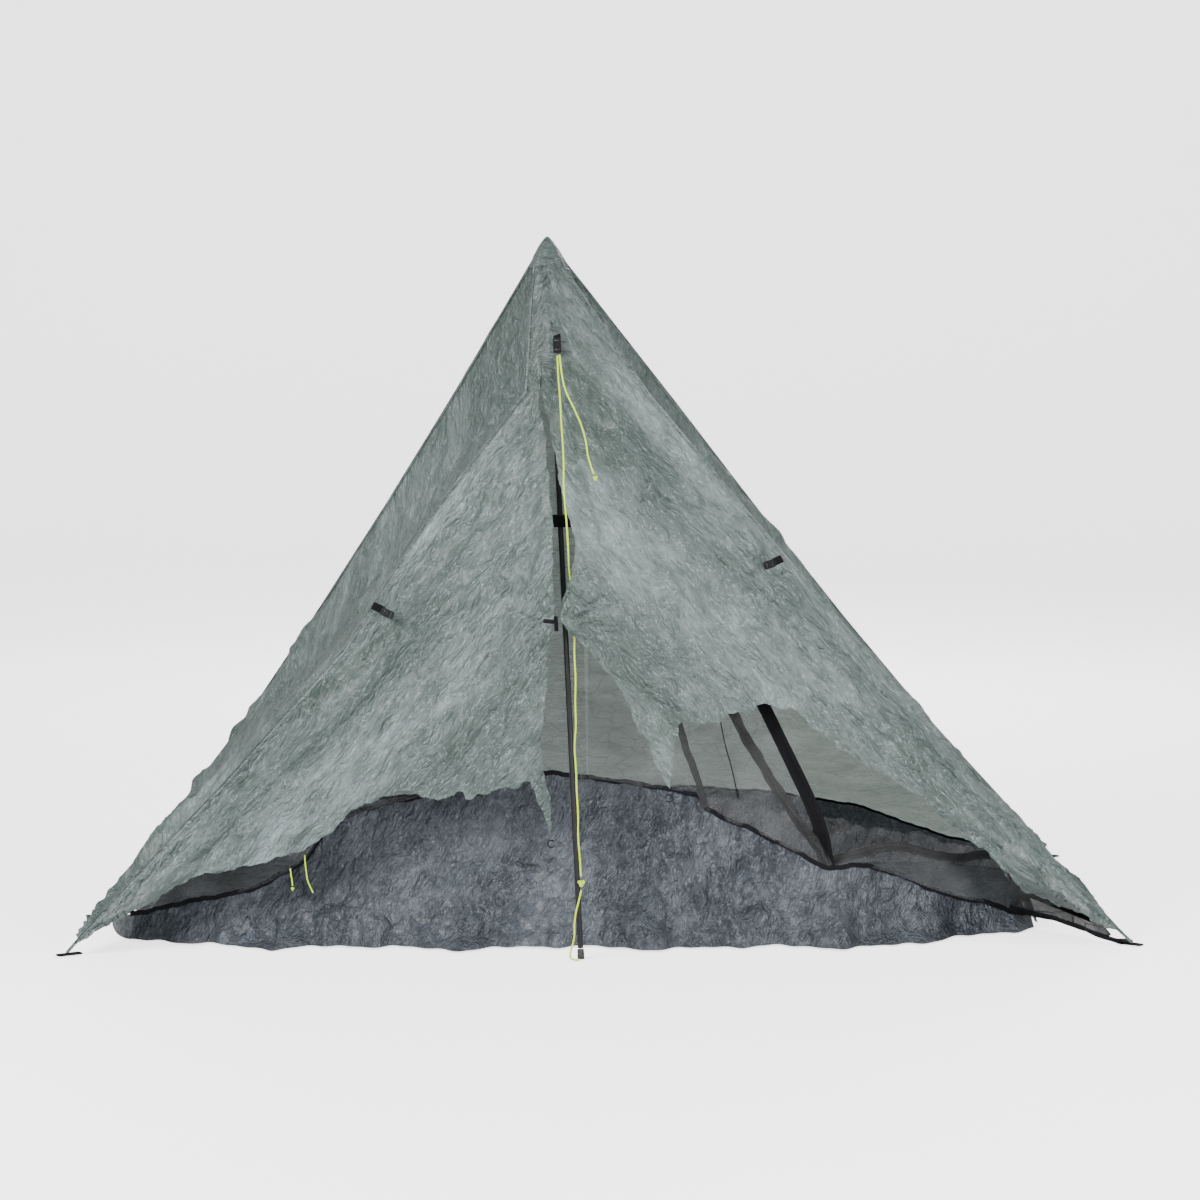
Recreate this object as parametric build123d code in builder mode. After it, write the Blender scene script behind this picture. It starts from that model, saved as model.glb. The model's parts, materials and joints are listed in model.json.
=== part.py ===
from build123d import *

import math
import os

# A single-pole pyramid shelter: +X to the right, the doorway towards -Y, +Z up, in millimetres.
# The origin is on the underside of the tub floor, near the middle of the footprint.

FABRIC = 2.5  # stand-in thickness of the canopy film and the tub
MESH = 1.5  # stand-in thickness of the insect netting
SEAM_GAP = 6  # from a ridge line to the edge of each panel that meets there
DOOR_GAP = 12  # from a front ridge line to the edge of a storm door

APEX = (-122, -700, 1655)
CORNERS = {
    "front_left": (-1240, -840),
    "front_right": (1260, -680),
    "rear_left": (-1262, 722),
    "rear_right": (1222, 656),
}

# Where each ridge passes through a few heights. The slack front ridges sag inwards.
HEIGHTS = (1590, 1300, 1000, 700, 400, 40)
RIDGES = {
    "front_left": ((-150, -722), (-168, -754), (-400, -765), (-595, -775), (-865, -800), (-1205, -835)),
    "front_right": ((-86, -722), (110, -752), (361, -735), (616, -710), (875, -690), (1217, -680)),
    "rear_left": ((-165, -640), (-345, -395), (-540, -138), (-743, 119), (-954, 377), (-1233, 686)),
    "rear_right": ((-75, -645), (150, -408), (380, -161), (618, 85), (866, 331), (1188, 627)),
}

REAR_HEM = ((-1300, 20), (-1200, 50), (-800, 160), (0, 205), (800, 165), (1150, 55), (1300, 20))
SIDE_HEM = ((-900, 20), (-780, 45), (-400, 95), (0, 110), (400, 95), (600, 55), (760, 20))
LEFT_DOOR_HEM = (
    (-1300, 10), (-1180, 48), (-980, 105), (-720, 200), (-600, 270), (-420, 350),
    (-165, 372), (-145, 305), (-108, 290), (-60, 290),
)
RIGHT_DOOR_HEM = (
    (90, 480), (152, 398), (197, 500), (300, 546), (463, 550), (580, 444), (700, 400),
    (910, 233), (1030, 130), (1160, 62), (1330, 20),
)
LEFT_DOOR_EDGE = ((-142, 1270), (-108, 1150), (-96, 950), (-112, 770), (-123, 580), (-137, 458), (-112, 300))
RIGHT_DOOR_EDGE = (
    (-130, 1290), (-94, 1120), (-56, 970), (-58, 905), (-97, 780), (-52, 700), (38, 607), (122, 430),
)
DOOR_FRONT = ((1290, -775), (1000, -822), (700, -842), (400, -856), (40, -862))
DOOR_OVERLAP = 10  # how far the right door's free edge stands in front of the left one's

# The tub: its front edge in plan, its rim height along X, and how far its walls lean in.
TUB_FRONT = ((-1120, -620), (-600, -700), (450, -685), (780, -610), (1050, -400))
TUB_REAR = ((1060, 400), (900, 500), (-950, 520), (-1120, 380))
TUB_LEAN = 55
TUB_TOP = 420
FRONT_RIM = (
    (-1120, 75), (-840, 126), (-700, 200), (-640, 280), (-400, 355), (-120, 398), (100, 370),
    (230, 348), (370, 286), (510, 212), (700, 163), (1050, 68),
)
REAR_RIM = ((-1000, 60), (-650, 175), (-200, 215), (200, 215), (650, 170), (950, 60))
BINDING = 5

POLE_RADIUS = 6.3
POLE_FOOT = (-42, -865, 0)
POLE_JOINT_HEIGHT = 165

ZIP_TOP = (5, -668, 1380)
ZIP_BOTTOM = (528, -640, 232)
HINGE_X = -30  # the mesh door turns about an upright line here
HINGE_Y = -660

CORD = 4.0
WEBBING = 18
WEBBING_THICK = 2.0

os.makedirs("parts", exist_ok=True)


def save(piece, name):
    """Names a finished piece and writes it."""
    piece.part.label = name
    export_step(piece.part, f"parts/{name}.step")


def along(points, at, key, value):
    """Linear interpolation in a list of points: coordinate value where coordinate key is at."""
    ordered = sorted(points, key=lambda p: p[key])
    if at <= ordered[0][key]:
        return ordered[0][value]
    for a, b in zip(ordered, ordered[1:]):
        if at <= b[key]:
            share = (at - a[key]) / (b[key] - a[key])
            return a[value] + share * (b[value] - a[value])
    return ordered[-1][value]


def ridge(name, height):
    """The (x, y) of a ridge at a height."""
    points = [(z, x, y) for z, (x, y) in zip(HEIGHTS, RIDGES[name])]
    return Vector(along(points, height, 0, 1), along(points, height, 0, 2))


def inset(start, end, first, last):
    """A level line shortened by first at its start and by last at its end."""
    run = (end - start).normalized()
    return start + run * first, end - run * last


def hung_sheet(levels, thickness, cuts=()):
    """A thin wall through level lines (height, start, end), thickened by the vector thickness.

    Each cut is an outline and its plane, and everything inside it is cut away, right through.
    """
    with BuildPart() as wall:
        for height, start, end in levels:
            with BuildSketch(Plane.XY.offset(height)):
                with BuildLine():
                    Polyline(start, end, end + thickness, start + thickness, close=True)
                make_face()
        loft(ruled=True)
        for outline, plane in cuts:
            with BuildSketch(plane):
                with BuildLine():
                    Polyline(*outline, close=True)
                make_face()
            extrude(amount=3000, both=True, mode=Mode.SUBTRACT)
    return wall


def under(hem, floor=-50):
    """The outline of what lies below a hem line."""
    return (*hem, (hem[-1][0], floor), (hem[0][0], floor))


def flat_plane(start, end, facing):
    """A plane at the middle of start and end, its x along them and its z as near facing as can be."""
    a, b, z = Vector(*start), Vector(*end), Vector(*facing)
    run = (b - a).normalized()
    return Plane(origin=(a + b) / 2, x_dir=run, z_dir=(z - run * z.dot(run)).normalized())


def strip(start, end, width, thickness, facing):
    """A flat strap between two points."""
    length = (Vector(*end) - Vector(*start)).length
    with BuildPart() as strap:
        with BuildSketch(flat_plane(start, end, facing)):
            Rectangle(length, width)
        extrude(amount=thickness)
    return strap


def route_radii(points, limit):
    """An arc radius for each corner of a route: 0.45 of the shorter run over the tangent of half the turn."""
    radii = []
    for a, b, c in zip(points, points[1:], points[2:]):
        before, after = Vector(*b) - Vector(*a), Vector(*c) - Vector(*b)
        turn = math.radians(before.get_angle(after))
        reach = 0.45 * min(before.length, after.length)
        radii.append(min(limit, reach / math.tan(turn / 2)))
    return radii


def tube(points, diameter, limit=5000):
    """A round cord or binding along straight runs joined by tangent arcs."""
    with BuildPart() as cord:
        with BuildLine() as route:
            FilletPolyline(*points, radius=route_radii(points, limit))
        start = route.wire() @ 0
        with BuildSketch(Plane(origin=start, z_dir=route.wire() % 0)):
            Circle(diameter / 2)
        sweep(path=route.wire())
    return cord


def report_cord(name, piece, points, diameter, length):
    """Prints a cord's smallest radius, and its volume against its section times its length."""
    volume = math.pi * diameter**2 / 4 * length
    radii = [round(r) for r in route_radii(points, 5000)]
    print(name, "length", round(length), "radii", radii, "volume ratio", round(piece.part.volume / volume, 4))


def free_cord(name, points, diameter=CORD):
    """Writes a free cord and prints its radii."""
    cord = tube(points, diameter)
    with BuildLine() as route:
        FilletPolyline(*points, radius=route_radii(points, 5000))
    report_cord(name, cord, points, diameter, route.wire().length)
    save(cord, name)


def buckle(centre, along_line, facing, length=42, width=18, thickness=4):
    """A line tightener: a plate with rounded corners and two narrow slots."""
    c, half = Vector(*centre), Vector(*along_line).normalized() * (length / 2)
    plane = flat_plane(tuple(c - half), tuple(c + half), facing)
    with BuildPart() as plate:
        with BuildSketch(plane):
            RectangleRounded(length, width, 4)
            with Locations((-length / 2 + 7, 0), (length / 2 - 8, 0)):
                Rectangle(3, width - 7, mode=Mode.SUBTRACT)
        extrude(amount=thickness)
        with BuildSketch(plane.offset(thickness)):
            Rectangle(9, width - 8)
        extrude(amount=1.5)
    return plate


# Canopy ----------------------------------------------------------------------------------------

def panel_levels(left, right, heights, first=SEAM_GAP, last=SEAM_GAP):
    """Level lines from one ridge to another."""
    return [(z, *inset(ridge(left, z), ridge(right, z), first, last)) for z in heights]


rear_panel = hung_sheet(
    panel_levels("rear_left", "rear_right", HEIGHTS), Vector(0, -FABRIC), [(under(REAR_HEM), Plane.XZ)]
)
save(rear_panel, "rear_panel")

left_side_panel = hung_sheet(
    panel_levels("front_left", "rear_left", HEIGHTS), Vector(FABRIC, 0), [(under(SIDE_HEM), Plane.YZ)]
)
save(left_side_panel, "left_side_panel")

right_side_panel = hung_sheet(
    panel_levels("front_right", "rear_right", HEIGHTS), Vector(-FABRIC, 0), [(under(SIDE_HEM), Plane.YZ)]
)
save(right_side_panel, "right_side_panel")

front_peak_panel = hung_sheet(
    panel_levels("front_left", "front_right", (1590, 1450, 1302)), Vector(0, -FABRIC)
)
save(front_peak_panel, "front_peak_panel")

# The cap is a small hollow pyramid with a blunt top, over the pole cup and clear of the panels.
CAP_BASE = 1596
CAP_FOOT = ((-31, -31), (35, -31), (52, 58), (-48, 62))
CAP_HEAD = ((-12, -13), (12, -13), (13, 14), (-13, 14))
CAP_WALL = 3


def cap_corners(outline, inwards):
    """The cap's corners in plan, moved towards the middle by a wall thickness."""
    shrink = [(x - math.copysign(inwards, x), y - math.copysign(inwards, y)) for x, y in outline]
    return [(APEX[0] + x, APEX[1] + y) for x, y in shrink]


with BuildPart() as peak_cap:
    for height, outline in ((CAP_BASE, CAP_FOOT), (APEX[2], CAP_HEAD)):
        with BuildSketch(Plane.XY.offset(height)):
            with BuildLine():
                Polyline(*cap_corners(outline, 0), close=True)
            make_face()
    loft(ruled=True)
    fillet(peak_cap.faces().sort_by(Axis.Z)[-1].edges(), 5)
    for height, outline in ((CAP_BASE, CAP_FOOT), (APEX[2] - 6, CAP_HEAD)):
        with BuildSketch(Plane.XY.offset(height)):
            with BuildLine():
                Polyline(*cap_corners(outline, CAP_WALL), close=True)
            make_face()
    loft(ruled=True, mode=Mode.SUBTRACT)
save(peak_cap, "peak_cap")

CUP_TOP = APEX[2] - 14
with BuildPart() as pole_cup:
    with BuildSketch(Plane.XY.offset(CUP_TOP - 26)):
        with Locations(APEX[:2]):
            Circle(10)
            Circle(8, mode=Mode.SUBTRACT)
    extrude(amount=22)
    with BuildSketch(Plane.XY.offset(CUP_TOP - 4)):
        with Locations(APEX[:2]):
            Circle(10)
    extrude(amount=4)
save(pole_cup, "pole_cup")

# A teardrop patch on the front of the peak, with the webbing that carries the line tightener.
PATCH_PLANE = flat_plane((-100, -730, 1330), (-100, -712, 1560), (0, -1, 0))
with BuildPart() as peak_patch:
    with BuildSketch(PATCH_PLANE.offset(8)):
        with BuildLine():
            Polyline((-110, -26), (-60, -40), (40, -16), (110, -5), (110, 5), (40, 16), (-60, 40), (-110, 26),
                     close=True)
        make_face()
    extrude(amount=FABRIC)
save(peak_patch, "peak_patch")

PEAK_TAB_TOP = (-99, -738, 1478)
PEAK_TAB_END = (-99, -756, 1426)
peak_webbing = strip(PEAK_TAB_TOP, PEAK_TAB_END, 16, WEBBING_THICK, (0, -1, 0.1))
save(peak_webbing, "peak_webbing")

# Reinforcement triangles inside the four corners, one group of separate pieces.
with BuildPart() as corner_patches:
    for corner, neighbour, side in (
        ("front_left", "rear_left", 1), ("rear_left", "front_left", 1),
        ("front_right", "rear_right", -1), ("rear_right", "front_right", -1),
    ):
        lines = []
        for z, reach in ((200, 24), (70, 110)):
            start = ridge(corner, z)
            run = (ridge(neighbour, z) - start).normalized()
            first = start + run * 16 + Vector(7 * side, 0)
            lines.append((z, first, first + run * reach))
        add(hung_sheet(lines, Vector(2 * side, 0)).part)
save(corner_patches, "corner_patches")


def ridge_tape(name, outward, offset, half_width=7, heights=HEIGHTS[:-1] + (70,)):
    """The bonded tape that covers a ridge seam, standing just outside it."""
    out = Vector(*outward).normalized()
    side = Vector(-out.Y, out.X)
    lines = []
    for z in heights:
        middle = ridge(name, z) + out * offset
        lines.append((z, middle - side * half_width, middle + side * half_width))
    return hung_sheet(lines, out * 1.5)


with BuildPart() as rear_ridge_tapes:
    add(ridge_tape("rear_left", (-1, 1), 5).part)
    add(ridge_tape("rear_right", (1, 1), 5).part)
save(rear_ridge_tapes, "rear_ridge_tapes")

with BuildPart() as front_ridge_tapes:
    add(ridge_tape("front_left", (-1, -0.35), 6, 5).part)
    add(ridge_tape("front_right", (1, -0.35), 6, 5).part)
save(front_ridge_tapes, "front_ridge_tapes")

# Storm doors ------------------------------------------------------------------------------------

left_levels = []
right_levels = []
for z in (1000, 700, 400, 45):
    left_edge = Vector(-60, along(DOOR_FRONT, z, 0, 1))
    right_edge = Vector(-132, along(DOOR_FRONT, z, 0, 1) - DOOR_OVERLAP)
    left_levels.append((z, *inset(ridge("front_left", z), left_edge, DOOR_GAP, 0)))
    right_levels.append((z, *inset(right_edge, ridge("front_right", z), 0, DOOR_GAP)))
left_top = Vector(LEFT_DOOR_EDGE[0][0] + 4, along(DOOR_FRONT, 1270, 0, 1))
left_levels.insert(0, (1270, *inset(ridge("front_left", 1270), left_top, DOOR_GAP, 0)))
right_top = Vector(-132, DOOR_FRONT[0][1] - DOOR_OVERLAP)
right_levels.insert(0, (1290, *inset(right_top, ridge("front_right", 1290), 0, DOOR_GAP)))

left_door_panel = hung_sheet(
    left_levels,
    Vector(0, -FABRIC),
    [(under(LEFT_DOOR_HEM), Plane.XZ), ((*LEFT_DOOR_EDGE, (0, 300), (0, 1270)), Plane.XZ)],
)
save(left_door_panel, "left_door_panel")

right_door_panel = hung_sheet(
    right_levels,
    Vector(0, -FABRIC),
    [
        (under(RIGHT_DOOR_HEM), Plane.XZ),
        ((*RIGHT_DOOR_EDGE, (90, 480), (90, -50), (-300, -50), (-300, 1290)), Plane.XZ),
    ],
)
save(right_door_panel, "right_door_panel")


def open_hook(centre, gap_towards, radius=8, wire=3.4):
    """A C-shaped hook lying in the plane of the doors, open on one side."""
    start = math.degrees(math.atan2(gap_towards[1], gap_towards[0])) + 35
    with BuildPart() as hook:
        with BuildLine(Plane(origin=centre, x_dir=(1, 0, 0), z_dir=(0, -1, 0))) as bend:
            CenterArc((0, 0), radius, start, 290)
        with BuildSketch(Plane(origin=bend.wire() @ 0, z_dir=bend.wire() % 0)):
            Circle(wire / 2)
        sweep(path=bend.wire())
    return hook


LEFT_HOOK = (-110, -872, 268)
RIGHT_HOOK = (160, -885, 376)
save(open_hook(LEFT_HOOK, (1, 0.2)), "left_door_hook")
save(open_hook(RIGHT_HOOK, (-1, -0.3)), "right_door_hook")

CLASP = (-104, -870, 771)
with BuildPart() as door_toggle:
    with BuildSketch(Plane(origin=(CLASP[0] - 14, CLASP[1], CLASP[2]), x_dir=(0, 1, 0), z_dir=(1, 0, 0))):
        Circle(4)
    extrude(amount=28)
    fillet(door_toggle.edges().filter_by(GeomType.CIRCLE), 1.5)
save(door_toggle, "door_toggle")

with BuildPart() as toggle_loop:
    with BuildSketch(Plane(origin=(CLASP[0], CLASP[1] - 9, CLASP[2]), x_dir=(1, 0, 0), z_dir=(0, -1, 0))):
        SlotOverall(36, 13, rotation=90)
        SlotOverall(31, 8, rotation=90, mode=Mode.SUBTRACT)
    extrude(amount=2)
save(toggle_loop, "toggle_loop")

# Tub --------------------------------------------------------------------------------------------

with BuildPart() as tub_floor:
    with BuildSketch():
        with BuildLine():
            Polyline(*TUB_FRONT, *TUB_REAR, close=True)
        make_face()
    extrude(amount=3)
save(tub_floor, "tub_floor")


def band(points, lean, thickness):
    """A plan outline of a bent wall: its outer line moved in by lean, and back along its inner line."""
    outer = [(x * (1 - lean / 6000), y + lean) for x, y in points]
    inner = [(x * (1 - lean / 6000 - 0.001), y + lean + thickness) for x, y in reversed(points)]
    return (*outer, *inner)


with BuildPart() as tub_front_wall:
    for z, lean in ((4, 2), (TUB_TOP, TUB_LEAN)):
        with BuildSketch(Plane.XY.offset(z)):
            with BuildLine():
                Polyline(*band(TUB_FRONT, lean, FABRIC), close=True)
            make_face()
    loft(ruled=True)
    with BuildSketch(Plane.XZ):
        with BuildLine():
            Polyline(*FRONT_RIM, (1200, 68), (1200, 900), (-1300, 900), (-1300, 75), close=True)
        make_face()
    extrude(amount=3000, both=True, mode=Mode.SUBTRACT)
save(tub_front_wall, "tub_front_wall")

tub_rear_wall = hung_sheet(
    [(220, Vector(-870, 450), Vector(850, 430)), (4, Vector(-935, 512), Vector(890, 494))],
    Vector(0, -FABRIC),
    [((*REAR_RIM, (1100, 60), (1100, 400), (-1100, 400), (-1100, 60)), Plane.XZ)],
)
save(tub_rear_wall, "tub_rear_wall")

tub_left_wall = hung_sheet(
    [(70, Vector(-1098, -560), Vector(-1098, 360)), (4, Vector(-1112, -600), Vector(-1112, 372))],
    Vector(FABRIC, 0),
)
save(tub_left_wall, "tub_left_wall")

tub_right_wall = hung_sheet(
    [(64, Vector(1035, -372), Vector(1040, 380)), (4, Vector(1044, -390), Vector(1052, 392))],
    Vector(-FABRIC, 0),
)
save(tub_right_wall, "tub_right_wall")


def front_wall_y(x, z):
    """Where the tub's front wall is, at a place along it and a height."""
    return along(TUB_FRONT, x, 0, 1) + TUB_LEAN * z / TUB_TOP


BINDING_LIFT = BINDING / 2 + 5
front_rim = [(x, front_wall_y(x, z) + 1, z + BINDING_LIFT) for x, z in FRONT_RIM[1:-1]]
rear_rim = [(x, 512 - 62 * z / 216, z + BINDING_LIFT) for x, z in REAR_RIM[::-1][1:-1]]
with BuildPart() as tub_rim_binding:
    for line in (front_rim, rear_rim):
        with BuildLine() as rim:
            FilletPolyline(*line, radius=[min(r, 120) for r in route_radii(line, 120)])
        with BuildSketch(Plane(origin=rim.wire() @ 0, z_dir=rim.wire() % 0)):
            Circle(BINDING / 2)
        sweep(path=rim.wire())
save(tub_rim_binding, "tub_rim_binding")

save(strip((-1092, -640, 84), (-1180, -790, 50), 14, WEBBING_THICK, (0.1, -0.4, 1)), "left_tub_tie")
save(strip((1040, -420, 76), (1180, -640, 46), 20, WEBBING_THICK, (-0.1, -0.4, 1)), "right_tub_tie")

# Netting ----------------------------------------------------------------------------------------

MESH_RIM = [(x, z + 20) for x, z in FRONT_RIM]
mesh_front_wall = hung_sheet(
    [
        (1500, Vector(-150, -668), Vector(-128, -668)),
        (1300, Vector(-172, -668), Vector(-95, -668)),
        (1000, Vector(-365, -668), Vector(-52, -668)),
        (700, Vector(-560, -660), Vector(-52, -660)),
        (400, Vector(-810, -650), Vector(-52, -650)),
        (90, Vector(-1115, -590), Vector(-52, -650)),
    ],
    Vector(0, MESH),
    [(under(MESH_RIM), Plane.XZ)],
)
save(mesh_front_wall, "mesh_front_wall")


def zip_point(height):
    """The point of the zip line at a height."""
    share = (ZIP_TOP[2] - height) / (ZIP_TOP[2] - ZIP_BOTTOM[2])
    return Vector(*ZIP_TOP) + (Vector(*ZIP_BOTTOM) - Vector(*ZIP_TOP)) * share


ZIP_WIDTH = 20
door_levels = []
for z in (1300, 1000, 700, 400, 236):
    free = zip_point(z)
    door_levels.append((z, Vector(HINGE_X, HINGE_Y), Vector(free.X - ZIP_WIDTH / 2 - 4, free.Y)))
mesh_door_panel = hung_sheet(door_levels, Vector(0, MESH), [(under(MESH_RIM), Plane.XZ)])
save(mesh_door_panel, "mesh_door_panel")

zip_tape = strip(tuple(zip_point(1370)), tuple(zip_point(240)), ZIP_WIDTH, 1.4, (0, -1, 0))
save(zip_tape, "zip_tape")
coil_start, coil_end = zip_point(1365), zip_point(300)
zip_coil = strip((coil_start.X, coil_start.Y - 2.2, coil_start.Z), (coil_end.X, coil_end.Y - 2.2, coil_end.Z),
                 6, 2, (0, -1, 0))
save(zip_coil, "zip_coil")

# The slider sits at the foot of the coil and runs up it.
ZIP_RUN = (Vector(*ZIP_TOP) - Vector(*ZIP_BOTTOM)).normalized()
slider_at = zip_point(285) + Vector(0, -4.8, 0)
with BuildPart() as zip_slider:
    plane = flat_plane(tuple(slider_at - ZIP_RUN * 9), tuple(slider_at + ZIP_RUN * 9), (0, -1, 0))
    with BuildSketch(plane):
        Trapezoid(12, 18, 82, rotation=90)
    extrude(amount=4)
save(zip_slider, "zip_slider")

pull_top = slider_at + Vector(0, -5.2, 0)
save(strip(tuple(pull_top), tuple(pull_top + Vector(0, -2, -38)), 7, 1.6, (0, -1, 0)), "zip_pull")

# The netting's slack is rolled beside the zip, and two narrow strips are sewn to the netting.
roll = [tuple(zip_point(z) + Vector(-62, -9, 0)) for z in (560, 300)]
save(strip(roll[0], roll[1], 16, 4, (0, -1, 0)), "door_mesh_roll")
save(strip((156, -674, 560), (226, -672, 372), 14, 2, (0, -1, 0)), "side_strip")
save(strip((268, -674, 540), (296, -672, 372), 3, 2, (0, -1, 0)), "inner_cord")

# Pole -------------------------------------------------------------------------------------------

pole_top = Vector(APEX[0], APEX[1], CUP_TOP - 6)
pole_line = (Vector(*POLE_FOOT) - pole_top).normalized()


def pole_point(height):
    """The point of the pole's axis at a height."""
    return pole_top + pole_line * ((height - pole_top.Z) / pole_line.Z)


def pole_plane(height):
    """A plane square to the pole at a height, looking up it."""
    return Plane(origin=pole_point(height), z_dir=-pole_line)


def rod(low, high, outer, bore=0):
    """A round piece of the pole between two heights."""
    length = (pole_point(high) - pole_point(low)).length
    with BuildPart() as piece:
        with BuildSketch(pole_plane(low)):
            Circle(outer)
            if bore:
                Circle(bore, mode=Mode.SUBTRACT)
        extrude(amount=length)
    return piece


FERRULE_RADIUS = 4.8
JOINT_HIGH = POLE_JOINT_HEIGHT + 60
save(rod(1604, CUP_TOP - 10, 4.2), "pole_tip")
save(rod(POLE_JOINT_HEIGHT + 1, 1602, POLE_RADIUS, 5.4), "pole_upper_tube")
with BuildPart() as pole_ferrule:
    with BuildSketch(pole_plane(POLE_JOINT_HEIGHT - 70)):
        Circle(FERRULE_RADIUS)
    extrude(amount=150)
save(pole_ferrule, "pole_ferrule")
save(rod(24, POLE_JOINT_HEIGHT, POLE_RADIUS, FERRULE_RADIUS + 0.06), "pole_lower_tube")
with BuildPart() as pole_foot:
    with BuildSketch(Plane.XY):
        with Locations(POLE_FOOT[:2]):
            Circle(8.5)
    with BuildSketch(pole_plane(22)):
        Circle(7.6)
    loft(ruled=True)
save(pole_foot, "pole_foot")

# A webbing keeper round the pole, just behind the doors.
strap_at = pole_point(1004)
with BuildPart() as pole_strap:
    with BuildSketch(Plane.XY.offset(1004 - 13)):
        with Locations((strap_at.X + 8, strap_at.Y + 14)):
            SlotOverall(150, 54)
            SlotOverall(146, 50, mode=Mode.SUBTRACT)
    extrude(amount=26)
save(pole_strap, "pole_strap")

# Guy tabs, line tighteners and corner loops -------------------------------------------------------

LEFT_TAB = Vector(-512, -790, 806)
save(strip(tuple(LEFT_TAB + Vector(-12, 6, 4)), tuple(LEFT_TAB + Vector(14, -10, -6)), WEBBING, 2,
           (0, -1, 0.2)), "left_guy_webbing")
save(buckle(tuple(LEFT_TAB + Vector(24, -24, -12)), (1, -0.3, -0.42), (0, -1, 0.2), 32), "left_guy_buckle")

RIGHT_TAB = Vector(412, -742, 912)
save(strip(tuple(RIGHT_TAB + Vector(10, 4, 4)), tuple(RIGHT_TAB + Vector(-10, -8, -4)), WEBBING, 2,
           (0, -1, 0.2)), "right_guy_webbing")
save(buckle(tuple(RIGHT_TAB + Vector(-20, -22, -8)), (-1, -0.3, -0.3), (0, -1, 0.2), 28), "right_guy_buckle")

save(buckle((-98, -768, 1410), (0.05, -0.1, -1), (0, -1, 0.1), 36), "peak_buckle")


def stake_loop(corner, outward, reach=62, width=24, hole=(26, 12)):
    """A corner tab of webbing lying on the ground, with a slot for a stake."""
    x, y = CORNERS[corner]
    out = Vector(*outward).normalized()
    start = Vector(x, y) - out * (reach - 18)
    end = Vector(x, y) + out * 18
    plane = flat_plane((start.X, start.Y, 1), (end.X, end.Y, 1), (0, 0, 1))
    with BuildPart() as loop:
        with BuildSketch(plane):
            RectangleRounded(reach, width, 6)
            with Locations((reach / 2 - 20, 0)):
                SlotOverall(hole[0], hole[1], mode=Mode.SUBTRACT)
        extrude(amount=3)
    return loop


OUTWARD = {"front_left": (-1, -0.75), "front_right": (1, -0.7), "rear_left": (-1, 0.9), "rear_right": (1, 0.7)}
for corner, outward in OUTWARD.items():
    save(stake_loop(corner, outward), f"{corner}_stake_loop")

save(buckle((1238, -664, 7), (1, -0.7, 0), (0, 0, 1), 34), "front_right_buckle")

# Cords --------------------------------------------------------------------------------------------

GUYLINE = (
    (-97, -784, 1386), (-95, -800, 1338), (-90, -812, 1288), (-88, -824, 1240), (-84, -838, 1190),
    (-81, -848, 1138), (-82, -856, 1088), (-77, -862, 1036), (-73, -862, 984), (-71, -848, 940),
    (-70, -826, 900), (-64, -816, 852), (-60, -817, 800), (-57, -821, 748), (-58, -827, 696),
    (-54, -834, 644), (-56, -841, 592), (-53, -848, 540), (-58, -855, 490), (-53, -861, 440),
    (-52, -867, 388), (-48, -873, 336), (-49, -879, 284), (-44, -885, 236), (-42, -889, 196),
)
KNOT_AT = (-41, -890, 180)
GUYLINE_END = (
    (-41, -892, 164), (-46, -896, 142), (-53, -900, 116), (-57, -903, 88), (-56, -906, 60), (-62, -907, 34),
    (-68, -904, 14), (-62, -900, 3), (-46, -898, 2.6),
)
TAIL = (
    (-92, -786, 1388), (-88, -802, 1350), (-80, -812, 1310), (-60, -822, 1270), (-42, -834, 1232),
    (-30, -846, 1192), (-26, -856, 1152), (-12, -864, 1118),
)
HEM_CORD_LONG = (
    (-683, -812, 232), (-682, -818, 214), (-679, -822, 196), (-677, -824, 178), (-671, -826, 162), (-663, -827, 146),
)
HEM_CORD_SHORT = ((-717, -812, 200), (-715, -818, 187), (-712, -820, 174), (-711, -821, 161))


def knot(name, at, size):
    """A knot in a cord: a small rounded lump."""
    with BuildPart() as lump:
        with Locations(at):
            Sphere(size)
    save(lump, name)


free_cord("guyline", GUYLINE)
knot("guyline_knot", KNOT_AT, 9)
free_cord("guyline_end", GUYLINE_END)
free_cord("guyline_tail", TAIL)
knot("tail_knot", (TAIL[-1][0] + 3, TAIL[-1][1] - 1, TAIL[-1][2] - 9), 6)
free_cord("hem_cord_long", HEM_CORD_LONG, 3)
free_cord("hem_cord_short", HEM_CORD_SHORT, 3)
knot("hem_knot", (HEM_CORD_SHORT[-1][0], HEM_CORD_SHORT[-1][1], HEM_CORD_SHORT[-1][2] - 6.5), 4.5)
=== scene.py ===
import json
import math

import bpy
import numpy as np
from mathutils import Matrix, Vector
from mathutils.geometry import delaunay_2d_cdt


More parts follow.
